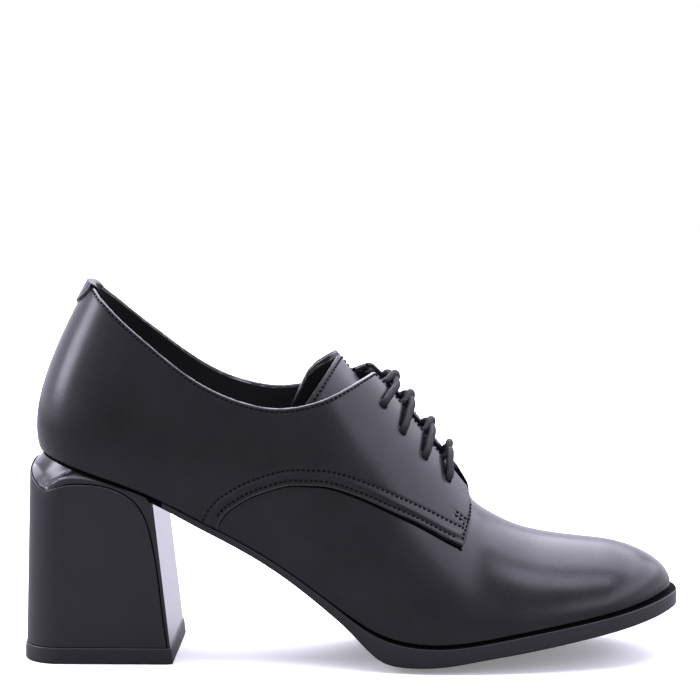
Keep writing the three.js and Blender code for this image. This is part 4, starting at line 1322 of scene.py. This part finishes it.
def skin_beside_ridge(x, side, distance):
    """The point, normal and forward direction of the skin at a distance from the ridge."""
    side = -side if distance < 0 else side
    share = np.array([share_at(x)])
    climb = climb_at_distance(share, side, abs(distance))
    forward = (quarter_skin(share + NUDGE, side, climb) - quarter_skin(share - NUDGE, side, climb))[0]
    higher = np.minimum(climb + NUDGE, 1)
    upward = (quarter_skin(share, side, higher) - quarter_skin(share, side, climb - NUDGE))[0]
    normal = np.cross(forward, upward)
    normal *= np.sign(normal[2]) / np.linalg.norm(normal)
    return quarter_skin(share, side, climb)[0], normal, forward / np.linalg.norm(forward)


def strand_path(eyelet, side):
    along, across, ahead = eyelet
    points = []
    for forward, way, above in STRAND:
        x = along * SHOE_LENGTH + forward * ahead * LACE_RADIUS - SHOE_LENGTH / 2
        point, normal, _ = skin_beside_ridge(x, side, way * across * BALL_WIDTH)
        points.append(point + normal * above * LACE_RADIUS)
    return np.array(points)


# Rings of a punched hole: distance from the hole's own radius, and height over the skin.
HOLE_RINGS = [(-0.25, 0.03), (-0.1, 0.1), (0, 0.1), (0.15, 0.07), (0.4, -0.05)]


def hole_part(eyelet, side):
    """A punched hole: its inside painted dark as shade (1) and the leather pressed down to it."""
    along, across, _ = eyelet
    x = along * SHOE_LENGTH - SHOE_LENGTH / 2
    point, normal, forward = skin_beside_ridge(x, side, across * BALL_WIDTH)
    beside = np.cross(normal, forward)
    turn = np.linspace(0, 2 * math.pi, 32, endpoint=False)
    ring = np.cos(turn)[:, None] * forward + np.sin(turn)[:, None] * beside
    rows = [(0.1, 0.02)] + [(EYELET_RADIUS + past, height) for past, height in HOLE_RINGS]
    hole = np.stack([point + ring * radius + normal * height for radius, height in rows])
    return sheet(hole, np.repeat([1, 1, 1, 0, 0], len(turn)), wrap=True)


CORD_STEP, CORD_SIDES, CORD_SMOOTHINGS, CORD_END = 0.16, 40, 3, 0.5
BRAID_STRANDS, BRAID_LAY, BRAID_LOW, BRAID_RELIEF = 8, 6.4, 0.88, 0.14


def cord_tube(path, radius):
    """A round braided cord along a path: two sets of strands that pass over and under."""
    rough = rounded_path(path, 400)
    total = lengths_along(rough)[-1]
    places = np.linspace(0, total, int(total / CORD_STEP))
    line = resample(rough, places)
    for _ in range(CORD_SMOOTHINGS):
        line[1:-1] = (line[:-2] + 2 * line[1:-1] + line[2:]) / 4
    ahead = np.gradient(line, axis=0)
    ahead /= np.linalg.norm(ahead, axis=1, keepdims=True)
    # Carried along the cord, so that the braid doesn't twist by itself.
    upward = np.array([1.0, 0.0, 0.3])
    frames = []
    for a in ahead:
        upward = upward - a * np.dot(upward, a)
        upward = upward / np.linalg.norm(upward)
        frames.append(upward)
    up = np.array(frames)
    beside = np.cross(ahead, up)
    turn = np.linspace(0, 2 * math.pi, CORD_SIDES, endpoint=False)[None, :]
    twist = places[:, None] * (2 * math.pi / BRAID_LAY)
    one, two = (np.abs(np.cos(BRAID_STRANDS * (turn + way * twist) / 2)) for way in (1, -1))
    weave = (np.maximum(one, two) - 0.7) / 0.3
    thick = radius * (BRAID_LOW + BRAID_RELIEF * weave)
    ends = np.minimum(places, total - places)
    thick = thick * np.sqrt(np.clip(ends / CORD_END, 0.02, 1))[:, None]
    ring = np.cos(turn)[..., None] * beside[:, None] + np.sin(turn)[..., None] * up[:, None]
    return line[:, None] + ring * thick[..., None]


CORD_RADIUS = LACE_RADIUS * 1.04


def lace_parts(eyelet):
    return [sheet(cord_tube(strand_path(eyelet, side), CORD_RADIUS), wrap=True) for side in (-1, 1)]


# Assembly

quarters, seams = [], []
for foot_side in (-1, 1):
    side_parts, side_rows = quarter_parts(foot_side)
    quarters += side_parts
    seams += side_rows
tongue_pieces, tongue_seams = tongue_parts()
holes = [hole_part(eyelet, foot_side) for eyelet in EYELETS for foot_side in (-1, 1)]
quarter_materials = [LEATHER, EDGE_AND_PAINTED_SHADE, EDGE_PAINT, LINING]
tongue_materials = [TONGUE_LEATHER, BLACK_LINING, EDGE_PAINT]
heel_materials = [HEEL_SATIN, HEEL_GLOSS, HEEL_CUP, EDGE_AND_PAINTED_SHADE]

make_piece("quarters", quarters, quarter_materials, ["upper"])
make_piece("quarter_stitching", stitches(seams), [THREAD_AND_HOLE_SHADE], ["upper"])
make_piece("vamp", vamp_parts(), [LEATHER], ["upper"])
make_piece("quarter_lining", lining_parts(), [LINING], ["upper"])
make_piece("tongue_leather", tongue_pieces, tongue_materials, ["tongue"])
make_piece("tongue_stitching", stitches(tongue_seams), [THREAD_AND_HOLE_SHADE], ["tongue"])
make_piece("folded_back_tab", tab_parts(), [LEATHER], ["back_tab"])
make_piece("sock_lining", insole_parts(), [LINING], ["insole"])
make_piece("moulded_outsole", outsole_parts(), [SOLE_RUBBER, EDGE_AND_PAINTED_SHADE], ["outsole"], sharp=40)
make_piece("lacquered_heel", heel_parts(), heel_materials, ["heel_block"], sharp=24)
make_piece("rubber_heel_piece", top_lift_parts(), [SOLE_RUBBER], ["top_lift"], sharp=40)
make_piece("punched_lace_holes", holes, [LEATHER, EDGE_AND_PAINTED_SHADE], ["upper"])
for number, eyelet in enumerate(EYELETS, 1):
    node = f"lace_crossing_{number}"
    make_piece(f"lace_{number}", lace_parts(eyelet), [CORD], [node], weld=0.001)

# Studio: lengths here are metres

FLOOR_SIZE = 6.0
# The floor is dim as a light, and white to the camera, where it also glows with the distance.
FLOOR_GREY, FLOOR_WHITE, FLOOR_GLOW, GLOW_REACH = 0.25, 0.95, (0.2, 0.9), (0.5, 1.6)
BACKDROP_WHITE = 1.0
# The surroundings' light: in front, beside and behind, and what is left of it overhead.
FRONT_GLOW, SIDE_GLOW, HIGH_SHARE, HIGH_START, HIGH_END = 0.5, 1.6, 0.3, 0.45, 0.75
LIGHT_TINT = (1.0, 0.965, 1.17)

# Each light: centre, the point it faces, width, height and radiance.
STUDIO_LIGHTS = {
    "rear_overhead_panel": ((-0.22, 0.98, 1.1), (-0.22, 0.98, 0), 1.36, 1.66, 5.6),
    "rear_corner_panel": ((0.68, 0.98, 1.1), (0.68, 0.98, 0), 0.42, 1.66, 3.6),
    "front_overhead_panel": ((-0.16, -0.19, 1.1), (-0.16, -0.19, 0), 1.48, 0.32, 5.6),
    "toe_side_panel": ((1.0, -0.15, 0.98), (0, -0.15, 0.98), 2.9, 0.75, 2.45),
    "heel_side_panel": ((-1.0, -0.04, 0.65), (0, -0.04, 0.65), 0.34, 0.8, 9.5),
}


def studio_floor():
    mesh = bpy.data.meshes.new("studio_floor")
    half = FLOOR_SIZE / 2
    corners = [(-half, -half, 0), (half, -half, 0), (half, half, 0), (-half, half, 0)]
    mesh.from_pydata(corners, [], [(0, 1, 2, 3)])
    floor = bpy.data.objects.new("studio_floor", mesh)
    bpy.context.scene.collection.objects.link(floor)
    material, nodes, links, shader = new_material("studio_floor_white")
    shader.inputs["Roughness"].default_value = 0.8
    shader.inputs["Specular IOR Level"].default_value = 0.1
    seen = nodes.new("ShaderNodeLightPath")
    grey = ranged(nodes, links, seen.outputs["Is Camera Ray"], 0.0, 1.0, FLOOR_GREY, FLOOR_WHITE)
    links.new(grey, shader.inputs["Base Color"])
    place = nodes.new("ShaderNodeTexCoord")
    far = nodes.new("ShaderNodeVectorMath")
    far.operation = "LENGTH"
    links.new(place.outputs["Object"], far.inputs[0])
    glow = ranged(nodes, links, far.outputs["Value"], *GLOW_REACH, *FLOOR_GLOW)
    glow = math_node(nodes, links, "MULTIPLY", glow, seen.outputs["Is Camera Ray"])
    shader.inputs["Emission Color"].default_value = (1, 1, 1, 1)
    links.new(glow, shader.inputs["Emission Strength"])
    mesh.materials.append(material)


def soft_panel(name, place, target, width, height, radiance):
    data = bpy.data.lights.new(name, "AREA")
    data.shape = "RECTANGLE"
    data.size, data.size_y = width, height
    data.energy = radiance * math.pi * width * height
    data.color = LIGHT_TINT
    light = bpy.data.objects.new(name, data)
    bpy.context.scene.collection.objects.link(light)
    light.location = place
    light.rotation_euler = (Vector(target) - Vector(place)).to_track_quat("-Z", "Y").to_euler()


def ranged(nodes, links, value, low, high, first, last):
    node = nodes.new("ShaderNodeMapRange")
    for title, number in (("From Min", low), ("From Max", high), ("To Min", first), ("To Max", last)):
        node.inputs[title].default_value = number
    links.new(value, node.inputs["Value"])
    return node.outputs[0]


def studio_world():
    """White to the camera; as light it is dim in front of the shoe and bright beside and behind it."""
    world = bpy.data.worlds.new("studio_world")
    bpy.context.scene.world = world
    world.use_nodes = True
    nodes, links = world.node_tree.nodes, world.node_tree.links
    background = nodes["Background"]
    direction = nodes.new("ShaderNodeTexCoord")
    split = nodes.new("ShaderNodeSeparateXYZ")
    links.new(direction.outputs["Generated"], split.inputs[0])
    around = ranged(nodes, links, split.outputs["Y"], -1.0, 0.0, FRONT_GLOW, SIDE_GLOW)
    high = ranged(nodes, links, split.outputs["Z"], HIGH_START, HIGH_END, 1.0, HIGH_SHARE)
    glow = math_node(nodes, links, "MULTIPLY", around, high)
    seen = nodes.new("ShaderNodeLightPath").outputs["Is Camera Ray"]
    tint = nodes.new("ShaderNodeMix")
    tint.data_type = "RGBA"
    links.new(seen, tint.inputs["Factor"])
    for socket in tint.inputs:
        if socket.type == "RGBA":
            socket.default_value = (*LIGHT_TINT, 1) if socket.name == "A" else (1, 1, 1, 1)
    colour = next(socket for socket in tint.outputs if socket.type == "RGBA")
    links.new(colour, background.inputs["Color"])
    strength = nodes.new("ShaderNodeMix")
    strength.data_type = "FLOAT"
    links.new(seen, strength.inputs[0])
    links.new(glow, strength.inputs[2])
    strength.inputs[3].default_value = BACKDROP_WHITE
    links.new(strength.outputs[0], background.inputs["Strength"])


bpy.context.scene.view_settings.view_transform = "Standard"
studio_floor()
studio_world()
for light_name, light_facts in STUDIO_LIGHTS.items():
    soft_panel(light_name, *light_facts)

# Camera

VIEW_DISTANCE, VIEW_HEIGHT, VIEW_TURN = 0.85, 0.2, math.radians(1.3)
VIEW_TARGET = Vector((-0.001, FRAME_SHIFT[1] * MM, 0.1128))
PHOTO_SIZE, SENSOR, MM_PER_PIXEL = 700, 36.0, 0.37

camera_data = bpy.data.cameras.new("photo_camera")
camera = bpy.data.objects.new("photo_camera", camera_data)
bpy.context.scene.collection.objects.link(camera)
camera.location = (
    VIEW_TARGET.x + VIEW_DISTANCE * math.sin(VIEW_TURN),
    VIEW_TARGET.y - VIEW_DISTANCE * math.cos(VIEW_TURN),
    VIEW_HEIGHT,
)
sight = VIEW_TARGET - camera.location
camera.rotation_euler = sight.to_track_quat("-Z", "Y").to_euler()
camera_data.sensor_width = SENSOR
camera_data.lens = sight.length / MM / MM_PER_PIXEL / PHOTO_SIZE * SENSOR
bpy.context.scene.camera = camera
